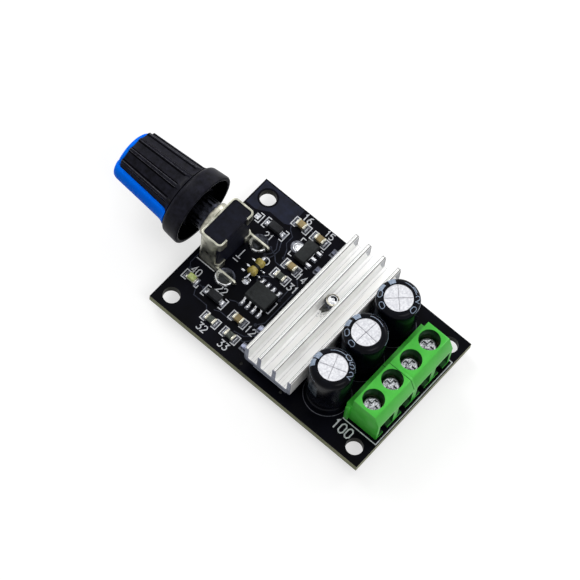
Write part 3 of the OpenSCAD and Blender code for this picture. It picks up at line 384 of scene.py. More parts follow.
def grid_faces(rows, count, closed=False, round_rows=False):
    """Faces between rows of count points, joined round each row where closed."""
    faces = []
    for row in range(rows if round_rows else rows - 1):
        here, ahead = row * count, (row + 1) % rows * count
        for k in range(count if closed else count - 1):
            beside = (k + 1) % count
            faces.append((here + k, here + beside, ahead + beside, ahead + k))
    return faces


def upright(centre, base=0.0):
    """Places a lathe's points round an axis along +Z."""
    return lambda x, y, height: (centre[0] + x, centre[1] + y, base + height)


def lathe(profile, steps, place, closed=True, radius_at=None):
    """Turns a profile of (radius, height) points. steps is a number or a list of angles, and place maps
    (x, y, height) to the object's frame."""
    verts = []
    angles = [2 * math.pi * i / steps for i in range(steps)] if isinstance(steps, int) else steps
    for angle in angles:
        for radius, height in profile:
            reach = radius_at(angle, radius, height) if radius_at else radius
            verts.append(place(reach * math.cos(angle), reach * math.sin(angle), height))
    return mesh_from(verts, grid_faces(len(angles), len(profile), closed, round_rows=True))


def dressed(node, width_mm, segments=2, finish=None):
    """Copy of a solid with its edges rounded, which stands for the node."""
    source = frame["nodes"][node]
    mesh = source.data.copy()
    with editing(mesh) as form:
        bmesh.ops.remove_doubles(form, verts=form.verts, dist=WELD)
        bmesh.ops.dissolve_limit(form, angle_limit=math.radians(0.5), verts=form.verts, edges=form.edges)
    obj = linked("dressed_" + node, mesh)
    mesh.materials.clear()
    mesh.materials.append(MATERIALS[finish or SLOT_OF[node]])
    edges = obj.modifiers.new("round edges", "BEVEL")
    edges.width = width_mm * MM
    edges.segments = segments
    edges.limit_method = "ANGLE"
    edges.angle_limit = math.radians(EDGE_ANGLE)
    edges.use_clamp_overlap = True
    bpy.context.view_layer.update()
    rounded = bpy.data.meshes.new_from_object(obj.evaluated_get(bpy.context.evaluated_depsgraph_get()))
    obj.modifiers.clear()
    obj.data = rounded
    soften(rounded, SMOOTH_BELOW)
    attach(obj, source["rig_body"])
    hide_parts(node)
    return obj


def ribbon(points, width, low=None, high=None, closed=False):
    """Verts and faces of a flat strip along a line of points, mitred at its corners. It lies on the board
    where no heights are given."""
    low = TOP if low is None else low
    high = TOP + PRINT_H if high is None else high
    verts, faces = [], []
    count = len(points)
    for i, here in enumerate(points):
        before = points[i - 1] if i or closed else here
        after = points[(i + 1) % count] if i < count - 1 or closed else here
        arrive = (Vector(here) - Vector(before)).normalized()
        leave = (Vector(after) - Vector(here)).normalized()
        along = (arrive + leave).normalized()
        across = Vector((-along.y, along.x))
        straight = arrive if arrive.length else leave
        reach = width / 2 / max(0.35, across.dot(Vector((-straight.y, straight.x))))
        for side in (-1, 1):
            x, y = Vector(here) + across * reach * side
            verts += [(x, y, low), (x, y, high)]
    spans = count if closed else count - 1
    for i in range(spans):
        a, b = 4 * i, 4 * ((i + 1) % count)
        faces += [(a + 1, a + 3, b + 3, b + 1), (a, b, b + 2, a + 2),
                  (a, a + 1, b + 1, b), (a + 2, b + 2, b + 3, a + 3)]
    if not closed:
        last = 4 * (count - 1)
        faces += [(0, 2, 3, 1), (last, last + 1, last + 3, last + 2)]
    return verts, faces


def thickened(verts, faces, depth=0.012):
    """Closed thin sheet from verts and faces that lie on a surface."""
    mesh = mesh_from(verts, faces)
    with editing(mesh) as form:
        bmesh.ops.solidify(form, geom=form.faces[:], thickness=depth * MM)
        bmesh.ops.recalc_face_normals(form, faces=form.faces)
    return mesh


def gather(parts):
    """Joins several lists of verts and faces into one."""
    verts, faces = [], []
    for more_verts, more_faces in parts:
        start = len(verts)
        verts += more_verts
        faces += [tuple(start + i for i in face) for face in more_faces]
    return verts, faces


def joined(name, parts, look, smooth=40.0):
    """One piece from several lists of verts and faces."""
    return piece(name, mesh_from(*gather(parts)), look, ROOT, smooth)


def arc(centre, radius, start=0.0, end=360.0, steps=32):
    """Points of an arc on the board, angles in degrees."""
    turns = [math.radians(start + (end - start) * i / steps) for i in range(steps + 1)]
    return [(centre[0] + radius * math.cos(turn), centre[1] + radius * math.sin(turn)) for turn in turns]


def ring(centre, radius, steps=48):
    """Points of a whole circle, without repeating the first."""
    return arc(centre, radius, steps=steps)[:-1]


def sheet(name, outline, holes, low, high, look):
    """Thin flat piece that may have holes."""
    form = bmesh.new()
    edges = []
    for loop in [outline] + holes:
        dots = [form.verts.new((x * MM, y * MM, low * MM)) for x, y in loop]
        edges += [form.edges.new((dots[i - 1], dots[i])) for i in range(len(dots))]
    filled = bmesh.ops.triangle_fill(form, edges=edges, use_beauty=True)
    faces = [item for item in filled["geom"] if isinstance(item, bmesh.types.BMFace)]
    raised = bmesh.ops.extrude_face_region(form, geom=faces, use_keep_orig=True)
    lifted = [item for item in raised["geom"] if isinstance(item, bmesh.types.BMVert)]
    bmesh.ops.translate(form, verts=lifted, vec=(0, 0, (high - low) * MM))
    bmesh.ops.recalc_face_normals(form, faces=form.faces)
    mesh = bpy.data.meshes.new(name)
    form.to_mesh(mesh)
    form.free()
    return piece(name, mesh, look)


def blob(centre, reach, lump=0.15):
    """Small dome on a level place, a little uneven."""
    verts = []
    for k in range(BLOB_RINGS):
        tilt = math.pi / 2 * k / BLOB_RINGS
        for i in range(BLOB_STEPS):
            turn = 2 * math.pi * i / BLOB_STEPS
            spot = Vector((2 * math.cos(turn) + centre[0], 2 * math.sin(turn) + centre[1], 0.7 * k))
            swell = 1 + lump * noise.noise(spot)
            verts.append((centre[0] + reach[0] * math.cos(turn) * math.cos(tilt) * swell,
                          centre[1] + reach[1] * math.sin(turn) * math.cos(tilt) * swell,
                          centre[2] + reach[2] * math.sin(tilt) * swell))
    verts.append((centre[0], centre[1], centre[2] + reach[2]))
    faces = grid_faces(BLOB_RINGS, BLOB_STEPS, closed=True)
    top = (BLOB_RINGS - 1) * BLOB_STEPS
    faces += [(top + i, top + (i + 1) % BLOB_STEPS, len(verts) - 1) for i in range(BLOB_STEPS)]
    faces.append(tuple(reversed(range(BLOB_STEPS))))
    return verts, faces


def islands(node):
    """Lowest and highest corners, in millimetres, of each separate solid of a node."""
    form = bmesh.new()
    form.from_mesh(frame["nodes"][node].data)
    bmesh.ops.remove_doubles(form, verts=form.verts, dist=WELD)
    waiting = set(form.verts)
    found = []
    while waiting:
        stack = [waiting.pop()]
        group = []
        while stack:
            vert = stack.pop()
            group.append(vert.co / MM)
            linked = {edge.other_vert(vert) for edge in vert.link_edges} & waiting
            waiting -= linked
            stack += linked
        low = Vector([min(point[axis] for point in group) for axis in range(3)])
        high = Vector([max(point[axis] for point in group) for axis in range(3)])
        found.append((low, high))
    form.free()
    return sorted(found, key=lambda box: tuple(box[0]))


def centre_of(node):
    low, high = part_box(node)
    return (low + high) / 2 / MM


for name, obj in frame["nodes"].items():
    obj.data.materials.clear()
    obj.data.materials.append(MATERIALS["pad_tin" if name == "solder_joints" else SLOT_OF[name]])


# Knob

KNOB_START, KNOB_END = 3.22, 19.76
GRIP_START = 7.90
GRIP_BASE_R, GRIP_END_R = 5.80, 4.95
RIDGES = 12
RIDGE_H = 0.30
FLUTE_DEEP = 0.14
RIDGE_TOP, RIDGE_FOOT = 2.4, 4.3
POINTER_SIDES = (-2.2, 1.2)
POINTER_PROUD = 0.55
DOME_H = 1.14
HOLLOW_R, HOLLOW_END = 6.64, 12.0
RELIEF_START, RELIEF_END, RELIEF_RUN = 7.3, 19.54, 0.5
RELIEF_MIN_R = 4.55
LINE_HEIGHTS = (8.4, 11.0, 14.0, 17.0, 19.45)
POINTER_CLEAR = 20
SECTOR = (0, 3.2, 6.4, 9.6, 10.7, 11.3, 12.0, 12.6, 13.8, 15, 16.2, 17.4, 18.0, 18.7, 19.3, 20.4, 23.6, 26.8)


def on_shaft(x, y, height):
    """Maps a point with height along the shaft, and x straight up before the pointer's turn."""
    cos, sin = math.cos(-POINTER_TURN), math.sin(-POINTER_TURN)
    up, side = x * cos - y * sin, x * sin + y * cos
    return (FRAME_X - height, AXIS_Y + side, AXIS_Z + up)


def grip_radius(height):
    share = (height - GRIP_START) / (KNOB_END - GRIP_START)
    return GRIP_BASE_R + (GRIP_END_R - GRIP_BASE_R) * share


def ridge_shape(angle):
    """Height of the grip's relief at an angle: a ridge, or the shallow flute beside it."""
    pitch = 360 / RIDGES
    past = math.degrees(angle) % pitch
    off = min(past, pitch - past)
    if off <= RIDGE_TOP:
        return RIDGE_H
    if off < RIDGE_FOOT:
        fall = (off - RIDGE_TOP) / (RIDGE_FOOT - RIDGE_TOP)
        return RIDGE_H * (1 - fall * fall * (3 - 2 * fall))
    return -FLUTE_DEEP * math.sin(math.pi * (off - RIDGE_FOOT) / (pitch - 2 * RIDGE_FOOT))


def knob_piece():
    """Grip with ridges, flared skirt and hollow, turned from one profile that starts inside."""
    inner = [(0.0, 16.0), (3.02, 16.0), (3.02, 4.3), (3.2, 4.12), (3.9, 4.12), (4.0, 4.3), (4.0, 11.5),
             (4.6, 11.5), (4.9, 7.22), (6.5, 7.22), (6.6, 7.1), (6.6, 3.5)]
    rim = [(6.68, 3.3), (6.85, KNOB_START), (7.15, KNOB_START), (7.36, 3.3), (7.46, 3.5)]
    skirt = [(7.44, 3.9), (7.3, 5.4), (7.2, 6.3), (7.1, 6.62), (6.9, 6.85), (6.6, 7.02), (6.3, 7.22),
             (6.08, 7.5), (5.92, 7.8)]
    grip = [(grip_radius(h), h) for h in (8.2, 9.0, 11.0, 13.0, 15.0, 17.0, 18.6, 19.2)]
    end = [(4.92, 19.4), (4.74, 19.52), (4.5, 19.56), (4.3, 19.5), (4.2, 19.3), (0.0, 19.3)]
    angles = [math.radians((i - 0.5) * 360 / RIDGES + a) for i in range(RIDGES) for a in SECTOR]

    def relief(angle, radius, height):
        if height < RELIEF_START or height > RELIEF_END or radius < RELIEF_MIN_R:
            return radius
        return radius + ridge_shape(angle) * min(1.0, (height - RELIEF_START) / RELIEF_RUN)

    mesh = lathe(inner + rim + skirt + grip + end, angles, on_shaft, closed=False, radius_at=relief)
    knob = piece("knob_grip", mesh, "knob_black", KNOB, smooth=32)
    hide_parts("knob_body")
    axis = Vector((AXIS_Y, AXIS_Z))

    def hollow(middle, normal):
        outward = middle.yz - axis
        inward = normal.yz.dot(outward.normalized()) < 0.2
        return inward and outward.length < HOLLOW_R and FRAME_X - middle.x < HOLLOW_END

    # The faces inside the hollow are painted near-black as shade.
    recoloured(mesh, "painted_shade_black", hollow)


def pointer_piece():
    """Blue dome on the knob's end, run into the strip that points to the setting."""
    dome = [(0.0, KNOB_END + DOME_H), (1.6, 20.85), (3.0, 20.67), (3.9, 20.42), (4.35, 20.17), (4.6, 19.92),
            (4.7, 19.68), (4.66, 19.5), (4.5, 19.35), (0.0, 19.35)]
    mesh = lathe(dome, 96, on_shaft, closed=False)
    cap = piece("pointer_cap", mesh, "knob_blue", KNOB, smooth=50)
    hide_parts("knob_cap")
    rise = [(0.0, -0.75), (0.0, 0.2), (0.035, 0.38), (0.1, 0.49), (0.3, POINTER_PROUD)]
    across = rise + [(0.5, POINTER_PROUD), (0.7, POINTER_PROUD), (0.9, 0.49), (0.965, 0.38), (1.0, 0.2),
                     (1.0, -0.75)]
    along = [(6.9, 0.0), (7.15, 0.4), (7.5, 0.2), (8.0, 0.05), (9.0, 0.0), (12.0, 0.0), (16.0, 0.0),
             (18.8, 0.0), (19.5, -0.06), (19.9, -0.2), (20.2, -0.5), (20.4, -1.0)]
    verts = []
    for height, swell in along:
        radius = grip_radius(height) + swell
        for share, lift in across:
            offset = POINTER_SIDES[0] + share * (POINTER_SIDES[1] - POINTER_SIDES[0])
            verts.append(on_shaft(math.sqrt((radius + lift) ** 2 - offset ** 2), offset, height))
    count = len(across)
    faces = grid_faces(len(along), count, closed=True)
    faces += [tuple(range(count)), tuple(range(len(verts) - count, len(verts)))]
    strip = mesh_from(verts, faces)
    piece("pointer_strip", strip, "knob_blue", KNOB, smooth=42)


def ridge_lines(near, far, proud):
    """Verts and faces of two lines along each ridge, between two angles from its middle."""
    lines = []
    for i in range(RIDGES):
        middle = i * 360 / RIDGES
        if abs((middle + 180) % 360 - 180) < POINTER_CLEAR:
            continue
        for side in (-1, 1):
            verts = []
            for height in LINE_HEIGHTS:
                for turn in (middle + side * near, middle + side * far):
                    angle = math.radians(turn)
                    reach = grip_radius(height) + ridge_shape(angle) + proud
                    verts.append(on_shaft(reach * math.cos(angle), reach * math.sin(angle), height))
            lines.append((verts, grid_faces(len(LINE_HEIGHTS), 2)))
    return gather(lines)


def ridge_pieces():
    """Lighter lines along both edges of each ridge, which are painted highlights, and dark ones along its
    feet, which are painted shade.
    """
    edges = thickened(*ridge_lines(RIDGE_TOP - 0.1, RIDGE_TOP + 0.55, 0.008))
    piece("ridge_edge_highlights", edges, "painted_ridge_highlight", KNOB)
    feet = thickened(*ridge_lines(RIDGE_FOOT - 0.5, RIDGE_FOOT + 1.7, 0.006), depth=0.008)
    piece("ridge_foot_shade", feet, "painted_shade_black", KNOB)


knob_piece()
pointer_piece()
ridge_pieces()


# Plain digits, each one line in a box one unit wide and one high

DIGITS = {
    "0": ((0.3, 0), (0.7, 0), (1, 0.2), (1, 0.8), (0.7, 1), (0.3, 1), (0, 0.8), (0, 0.2), (0.3, 0)),
    "1": ((0.2, 0.8), (0.55, 1), (0.55, 0)),
    "2": ((0, 0.8), (0.25, 1), (0.75, 1), (1, 0.8), (1, 0.62), (0, 0), (1, 0)),
    "3": ((0, 1), (1, 1), (0.5, 0.6), (0.8, 0.56), (1, 0.4), (1, 0.18), (0.7, 0), (0.25, 0), (0, 0.15)),
    "4": ((0.75, 0), (0.75, 1), (0, 0.3), (1, 0.3)),
    "5": ((1, 1), (0.1, 1), (0, 0.55), (0.6, 0.62), (1, 0.45), (1, 0.2), (0.7, 0), (0.25, 0), (0, 0.15)),
    "6": ((0.9, 1), (0.35, 0.85), (0, 0.45), (0, 0.2), (0.3, 0), (0.7, 0), (1, 0.18), (1, 0.38), (0.7, 0.58),
          (0.3, 0.58), (0.03, 0.4)),
}


# Capacitors

CAPACITORS = (1, 2, 3)
CAP_R, CAP_TOP_R = 4.0, 2.62
CAP_LOW, CAP_HIGH = TOP + 0.15, TOP + 12.0
BEAD_Z = CAP_LOW + 2.0
FOLD_R = 1.1
BLOCK_TURNS = {1: (180, 206), 2: (159, 191), 3: (151, 187)}
BLOCK_HALF = 11
SCORE_TURN = {1: 19.0, 2: -4.0, 3: 44.0}
DIGIT_TURNS = {1: (("0", 74), ("5", 47), ("2", 14)), 2: (("0", -137), ("0", -99)),
               3: (("0", -151), ("0", -113), ("1", 70), ("2", 37), ("0", -1))}
DIGIT_H, DIGIT_W, DIGIT_DEPTH, STROKE_W = 1.5, 0.85, 0.3, 0.15
AROUND = math.degrees(1 / CAP_R)
# Depths of the fine pale lines that are painted highlights
FOLD_HIGHLIGHT, RIM_HIGHLIGHT = 1.6, 0.5
BLOCK_DEPTHS = ((0.15, 1.95), (0.5, 2.2))
# Angles and depths of a painted sheen down each sleeve's side
SHEEN_BAND = (-124, -88, 3.4, 7.2)
PATCH_STEPS, PATCH_ROWS = 8, 6
SCORE_WIDTHS = (0.1, 0.06)
CAP_CENTRES = {i: centre_of(f"capacitor_sleeve_{i}") for i in CAPACITORS}


def sleeve_profile():
    """Outer line of the shrunk film, from its inner edge over the fold and down to its foot."""
    points = [(CAP_TOP_R + 0.05, CAP_HIGH - 0.02), (CAP_TOP_R + 0.2, CAP_HIGH)]
    points += [(CAP_R - FOLD_R + FOLD_R * math.cos(t), CAP_HIGH - FOLD_R + FOLD_R * math.sin(t))
               for t in (math.radians(a) for a in (80, 68, 56, 44, 32, 20, 8))]
    points += [(CAP_R, CAP_HIGH - 1.4), (CAP_R, BEAD_Z + 0.8)]
    points += [(CAP_R - 0.34 * math.cos(t) ** 2, BEAD_Z + 0.72 * math.sin(t))
               for t in (math.radians(a) for a in (70, 45, 20, 0, -20, -45, -70))]
    points += [(CAP_R, BEAD_Z - 0.75), (CAP_R, CAP_LOW + 0.12), (CAP_R - 0.12, CAP_LOW)]
    return points


FILM = sleeve_profile()


def film_point(i, turn, depth, proud):
    """Point on a sleeve, turn degrees round and depth millimetres along its outline from the inner edge."""
    for (r0, z0), (r1, z1) in zip(FILM, FILM[1:]):
        length = math.dist((r0, z0), (r1, z1))
        if depth <= length:
            break
        depth -= length
    share = min(1.0, depth / length)
    radius = r0 + (r1 - r0) * share + (z0 - z1) / length * proud
    height = z0 + (z1 - z0) * share + (r1 - r0) / length * proud
    centre = CAP_CENTRES[i]
    angle = math.radians(turn)
    return (centre.x + radius * math.cos(angle), centre.y + radius * math.sin(angle), height)


def sleeve_piece(i):
    """Shrunk film, from its folded top edge to its foot."""
    inner = [(CAP_R - 0.2, CAP_LOW + 0.05), (CAP_R - 0.2, CAP_HIGH - 1.2), (CAP_R - 1.2, CAP_HIGH - 0.16),
             (CAP_TOP_R, CAP_HIGH - 0.12)]

    def ragged(angle, radius, height):
        """The fold's inner edge wanders a little, as shrunk film does."""
        if radius > CAP_TOP_R + 0.3 or height < CAP_HIGH - 0.3:
            return radius
        return radius + 0.05 * noise.noise(Vector((math.cos(angle) * 2, math.sin(angle) * 2, i)))

    mesh = lathe(FILM + inner, 96, upright(CAP_CENTRES[i]), radius_at=ragged)
    sleeve = piece(f"capacitor_film_{i}", mesh, "sleeve_film", smooth=30)
    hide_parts(f"capacitor_sleeve_{i}")


def film_patch(i, start, end, top, foot, proud=0.015):
    """Patch on a sleeve between two angles and two depths along its outline, for the printed blocks and for
    the painted sheen.
    """
    verts = []
    for k in range(PATCH_STEPS + 1):
        turn = start + (end - start) * k / PATCH_STEPS
        for j in range(PATCH_ROWS + 1):
            verts.append(film_point(i, turn, top + (foot - top) * j / PATCH_ROWS, proud))
    return verts, grid_faces(PATCH_STEPS + 1, PATCH_ROWS + 1)


def film_stroke(i, points, width):
    """Line on a sleeve through points of (degrees, depth), for printed digits and for painted highlights."""
    dense = []
    for (t0, d0), (t1, d1) in zip(points, points[1:]):
        dense += [(t0 + (t1 - t0) * k / 3, d0 + (d1 - d0) * k / 3) for k in range(3)]
    dense.append(points[-1])
    verts = []
    for k, (turn, depth) in enumerate(dense):
        ahead = dense[min(k + 1, len(dense) - 1)]
        behind = dense[max(k - 1, 0)]
        along = Vector(((ahead[0] - behind[0]) / AROUND, ahead[1] - behind[1])).normalized()
        for side in (-0.5, 0.5):
            verts.append(film_point(i, turn - along.y * side * width * AROUND,
                                    max(0.02, depth + along.x * side * width), 0.02))
    return verts, grid_faces(len(dense), 2)


def film_digit(i, digit, turn):
    """Plain digit whose height runs round the sleeve."""
    points = [(turn + (y - 0.5) * DIGIT_H * AROUND, DIGIT_DEPTH + x * DIGIT_W) for x, y in DIGITS[digit]]
    return film_stroke(i, points, STROKE_W)


def sleeve_print_and_highlights(i):
    """Pale block and plain digits that the printed film carries, and fine pale lines over the fold that are
    painted highlights.
    """
    first, second = BLOCK_TURNS[i]
    parts = [film_patch(i, turn - BLOCK_HALF, turn + BLOCK_HALF, *depths)
             for turn, depths in zip(BLOCK_TURNS[i], BLOCK_DEPTHS)]
    # The fine pale lines along the fold and the rim are painted highlights.
    parts += [film_stroke(i, [(turn, FOLD_HIGHLIGHT) for turn in range(first - 152, first - 12, 8)], 0.12),
              film_stroke(i, [(turn, FOLD_HIGHLIGHT + 0.25) for turn in range(second + 14, second + 60, 8)], 0.08),
              film_stroke(i, [(turn, RIM_HIGHLIGHT) for turn in range(first - 98, first - 40, 8)], 0.1)]
    for digit, turn in DIGIT_TURNS[i]:
        parts.append(film_digit(i, digit, turn))
    piece(f"sleeve_print_and_highlights_{i}", thickened(*gather(parts)), "sleeve_ink_and_highlight", smooth=30)
    # A slightly lighter band down the sleeve's side is a painted sheen.
    sheen_band = thickened(*film_patch(i, *SHEEN_BAND, proud=0.012))
    piece(f"sleeve_sheen_band_{i}", sheen_band, "sleeve_sheen", smooth=30)


def can_scores(i):
    """Crossed vent scores of the can's top, one wider than the other."""
    centre = CAP_CENTRES[i]
    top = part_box(f"capacitor_can_{i}")[1].z / MM
    lines = []
    for turn, width in zip((SCORE_TURN[i], SCORE_TURN[i] + 90), SCORE_WIDTHS):
        reach = Vector((math.cos(math.radians(turn)), math.sin(math.radians(turn)))) * (CAP_TOP_R - 0.05)
        middle = Vector((centre.x, centre.y))
        lines.append(ribbon([middle - reach, middle, middle + reach], width, top - 0.02, top + 0.006))
    joined(f"can_scores_{i}", lines, "score_shade")


for index in CAPACITORS:
    sleeve_piece(index)
    sleeve_print_and_highlights(index)
    can_scores(index)


# Edges of the moulded, pressed and cut parts

TERMINALS = (1, 2, 3, 4)
HOLE_REACH, HOLE_RIM = 2.25, 0.12
JOINT_W, JOINT_PROUD = 0.11, 0.012
LEDGE_D, LEDGE_H = 1.25, 5.55
BEVEL_RUN, BEVEL_Z = 1.1, 5.9
for node, width in (
    ("heat_sink", 0.1), ("pot_frame", 0.05), ("pot_bushing", 0.08),
    ("controller_chip_body", 0.05), ("regulator_body", 0.05), ("led_lens", 0.07),
    ("chip_capacitors", 0.05), ("chip_resistors", 0.04), ("chip_end_caps", 0.08), ("transistor_body", 0.06),
    ("flyback_diode_body", 0.06), ("controller_chip_leads", 0.03), ("regulator_leads", 0.04),
    ("diode_leads", 0.03), ("transistor_leads", 0.05), ("link_body", 0.12),
):
    dressed(node, width)
dressed("flyback_diode_leads", 0.05, finish="darker_tin")
dressed("diode_bodies", 0.05, finish="diode_epoxy")


def shaded_hole_walls(obj):
    """Darker green on the walls of the screwdriver holes, which is painted shade."""
    axes = [centre_of(f"terminal_screw_{i}").to_2d() for i in TERMINALS]
    rim = max(vert.co.z for vert in obj.data.vertices) / MM - HOLE_RIM

    def in_hole(middle, normal):
        return middle.z < rim and min((middle.to_2d() - axis).length for axis in axes) < HOLE_REACH

    # Faces below the rim near a screw's axis are painted darker as shade.
    recoloured(obj.data, "hole_wall_shade", in_hole)


def block_joint():
    """Dark line where the two terminal blocks meet, over the back, the top and the slope."""
    low, high = (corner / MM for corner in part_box("terminal_housing_2"))
    proud = JOINT_PROUD
    line = [(low.x - proud, TOP + 0.4), (low.x - proud, TOP + LEDGE_H),
            (low.x + LEDGE_D - proud, TOP + LEDGE_H + proud), (low.x + LEDGE_D - proud, high.z),
            (low.x + LEDGE_D, high.z + proud), (high.x - BEVEL_RUN, high.z + proud),
            (high.x + proud, TOP + BEVEL_Z)]
    verts = [(x, low.y + side * JOINT_W / 2, z) for x, z in line for side in (-1, 1)]
    faces = grid_faces(len(line), 2)
    piece("block_joint", thickened(verts, faces), "joint_green")


for index in (1, 2):
    shaded_hole_walls(dressed(f"terminal_housing_{index}", 0.09))
block_joint()
for index in TERMINALS:
    dressed(f"terminal_screw_{index}", 0.05)


# Copper under the mask and white print on the board, places in millimetres

LINE_W = 0.19
TRACE_W = 0.16
TRACE_H = 0.012
HOLE_R = 2.0
PAD_TOP = TOP + 0.06
CHIP_MARK = (1.78, 0.93, 1.0)
DIODE_MARK = (2.42, 1.08, 0.75)
CAP_MARK_R = 4.37
LINK_RING_R = 0.75
LEAD_R = 0.25
VIA_R = 0.22
CORNER_HOLE = (BOARD_LOW.x / MM + 2.8, BOARD_HIGH.y / MM - 2.75)
TERMINAL_MARK = ((16.5, -10.42), (23.98, -10.42), (23.98, 10.8), (16.5, 10.8))
SINGLE_MARKS = (
    ((-20.4, 8.15), (-19.55, 8.15), (-19.55, 10.05), (-20.4, 10.05)),
    ((-21.7, -9.15), (-22.8, -9.15), (-22.8, -7.35), (-21.7, -7.35)),
    ((-19.85, -9.15), (-19.2, -9.15), (-19.2, -8.5)),
    ((-10.75, 7.15), (-11.5, 7.15), (-11.5, 7.95)),
    ((-11.5, 10.65), (-11.5, 11.4), (-10.75, 11.4)),
    ((-7.5, 7.1), (-6.95, 7.1)),
    ((-7.5, 11.6), (-6.95, 11.6)),
    ((-6.85, -4.25), (-6.4, -4.25), (-6.4, -1.7), (-6.75, -1.7)),
    ((-23.1, -4.5), (-18.9, -4.5)),
    ((-23.1, 5.55), (-18.9, 5.55)),
    ((-17.7, 2.5), (-17.7, 0.5)),
    ((-18.2, 0.5), (-17.2, 0.5)),
    ((-18.3, -0.2), (-17.1, -0.2)),
)
NUMBERS = (("16", -13.3, 14.8, 1.4), ("15", -8.3, 15.0, 1.3), ("21", -16.4, 7.3, 1.3), ("14", -6.5, 5.0, 1.4),
           ("31", -6.4, 2.4, 1.4), ("22", -15.5, -6.3, 1.4), ("12", -6.5, -8.9, 1.4),
           ("32", -13.3, -14.2, 1.4), ("33", -8.3, -14.2, 1.4), ("40", -21.3, -6.6, 1.4),
           ("100", 17.7, -12.0, 1.9))
TRACES = (
    ((-14.5, 12.2), (-14.7, 11.7), (-14.25, 11.0), (-13.05, 10.2), (-13.05, 8.5), (-12.1, 7.5), (-11.5, 5.9)),
    ((-14.0, 8.3), (-13.1, 6.5), (-13.2, 4.9), (-13.6, 4.0)),
    ((-14.6, 8.0), (-13.6, 6.3), (-13.7, 5.2), (-14.4, 4.2)),
    ((-11.5, 13.4), (-10.5, 13.4)),
    ((-10.5, 4.3), (-12.1, 4.35), (-13.1, 5.35), (-14.6, 5.9)),
    ((-7.6, 3.3), (-6.7, 2.4), (-6.6, -0.9)),
    ((-7.5, 4.9), (-5.6, 3.0), (-5.6, -6.0), (-6.6, -7.4)),
    ((-14.0, -10.2), (-13.0, -9.7), (-10.9, -9.7)),
    ((-8.7, -10.9), (-6.7, -10.5), (-5.1, -8.9)),
    ((-7.1, -11.4), (-6.2, -11.4), (-5.1, -10.3)),
    ((-13.3, -6.9), (-12.2, -6.3), (-11.3, -6.3)),
    ((-10.6, 1.6), (-11.6, 1.0), (-12.2, 0.4), (-12.2, -0.6), (-11.3, -1.0)),
    ((-19.3, -8.2), (-18.2, -8.2)),
    ((-19.4, -8.9), (-18.6, -10.4), (-15.6, -10.4), (-14.7, -11.3)),
    ((-22.6, 1.0), (-23.3, 0.4), (-23.3, -6.0), (-22.6, -6.9)),
)
UNDER_TRACES = (
    (3.0, ((13.15, -11.2), (13.15, 11.4))),
    (2.6, ((9.65, -11.2), (9.65, 11.4))),
    (3.4, ((19.8, -9.4), (19.8, -0.6))),
    (3.4, ((19.8, 1.4), (19.8, 10.2))),
    (2.2, ((9.65, 9.08), (5.5, 9.08), (3.5, 11.0), (-5.0, 11.0))),
    (2.2, ((9.65, -8.72), (4.5, -8.72), (2.5, -10.7), (-5.0, -10.7))),
    (0.5, ((-20.9, 3.0), (-20.9, 7.0), (-19.9, 8.0), (-12.0, 8.0))),
    (0.5, ((-20.9, -2.0), (-20.9, -8.0), (-19.9, -9.0), (-10.0, -9.0), (-7.0, -6.0))),
    (0.5, ((-20.9, 0.5), (-17.0, 0.5), (-14.5, -1.96), (-13.53, -1.96))),
    (0.5, ((-13.53, 3.24), (-11.0, 3.24), (-9.0, 1.2), (-4.0, 1.2))),
)
AREA_EDGE = ((-24.0, 9.9), (-21.8, 9.92), (-21.2, 10.15), (-19.4, 11.25), (-16.0, 11.15), (-14.95, 11.7),
             (-14.8, 12.95), (-14.9, 15.65), (-24.0, 15.65))
TINNED_SPOTS = ((-15.35, 2.1), (-15.4, -0.75), (-12.45, 0.1), (-12.5, 1.3), (-15.3, 0.55))
OPEN_PAD, OPEN_PAD_W = ((-20.9, 9.1), (-19.95, 9.1)), 1.1


def end_marks(centre, half_l, half_w, leg):
    """Two three-sided marks round the ends of a part."""
    x, y = centre
    lines = []
    for side in (-1, 1):
        near, far = x + side * (half_l - leg), x + side * half_l
        lines.append(ribbon([(near, y - half_w), (far, y - half_w), (far, y + half_w), (near, y + half_w)],
                            LINE_W))
    return lines


def number(text, x, y, height):
    """Plain digits whose foot faces -Y, centred on a place."""
    width, pitch = 0.52 * height, 0.76 * height
    start = x - (pitch * (len(text) - 1) + width) / 2
    strokes = []
    for place, digit in enumerate(text):
        points = [(start + place * pitch + u * width, y + (v - 0.5) * height) for u, v in DIGITS[digit]]
        strokes.append(ribbon(points, 0.14 * height))
    return strokes


def middle_of(box):
    return ((box[0] + box[1]) / 2).to_2d()


def white_lines():
    """Outlines and plain numbers in white on the top face."""
    lines = [ribbon(line, LINE_W) for line in SINGLE_MARKS]
    for node, size in (("chip_capacitors", CHIP_MARK), ("chip_resistors", CHIP_MARK),
                       ("diode_bodies", DIODE_MARK)):
        for box in islands(node):
            lines += end_marks(middle_of(box), *size)
    lines.append(ribbon(TERMINAL_MARK, LINE_W, closed=True))
    lines.append(ribbon(ring(link_end(1), LINK_RING_R), LINE_W, closed=True))
    for text, x, y, height in NUMBERS:
        lines += number(text, x, y, height)
    joined("white_print", lines, "white_print")
    circles = [ribbon(ring(CAP_CENTRES[i].to_2d(), CAP_MARK_R, 72), 0.13, closed=True) for i in CAPACITORS]
    joined("faint_print", circles, "faint_print")


def link_end(side):
    """Where a lead of the link goes through the board."""
    low, high = islands("link_leads")[0 if side < 0 else 1]
    return Vector((centre_of("link_body").x, high.y - LEAD_R if side > 0 else low.y + LEAD_R))


def board_copper():
    """Traces, their vias and the wide corner area, all under the mask."""
    lines = [ribbon(line, TRACE_W, TOP, TOP + TRACE_H) for line in TRACES]
    for line in TRACES:
        lines.append(ribbon(ring(line[-1], VIA_R, 12), TRACE_W, TOP, TOP + TRACE_H, closed=True))
    joined("board_traces", lines, "covered_copper")
    sheet("copper_area", AREA_EDGE, [ring(CORNER_HOLE, HOLE_R, 40)], TOP, TOP + TRACE_H, "copper_area")


white_lines()
board_copper()


# Solder

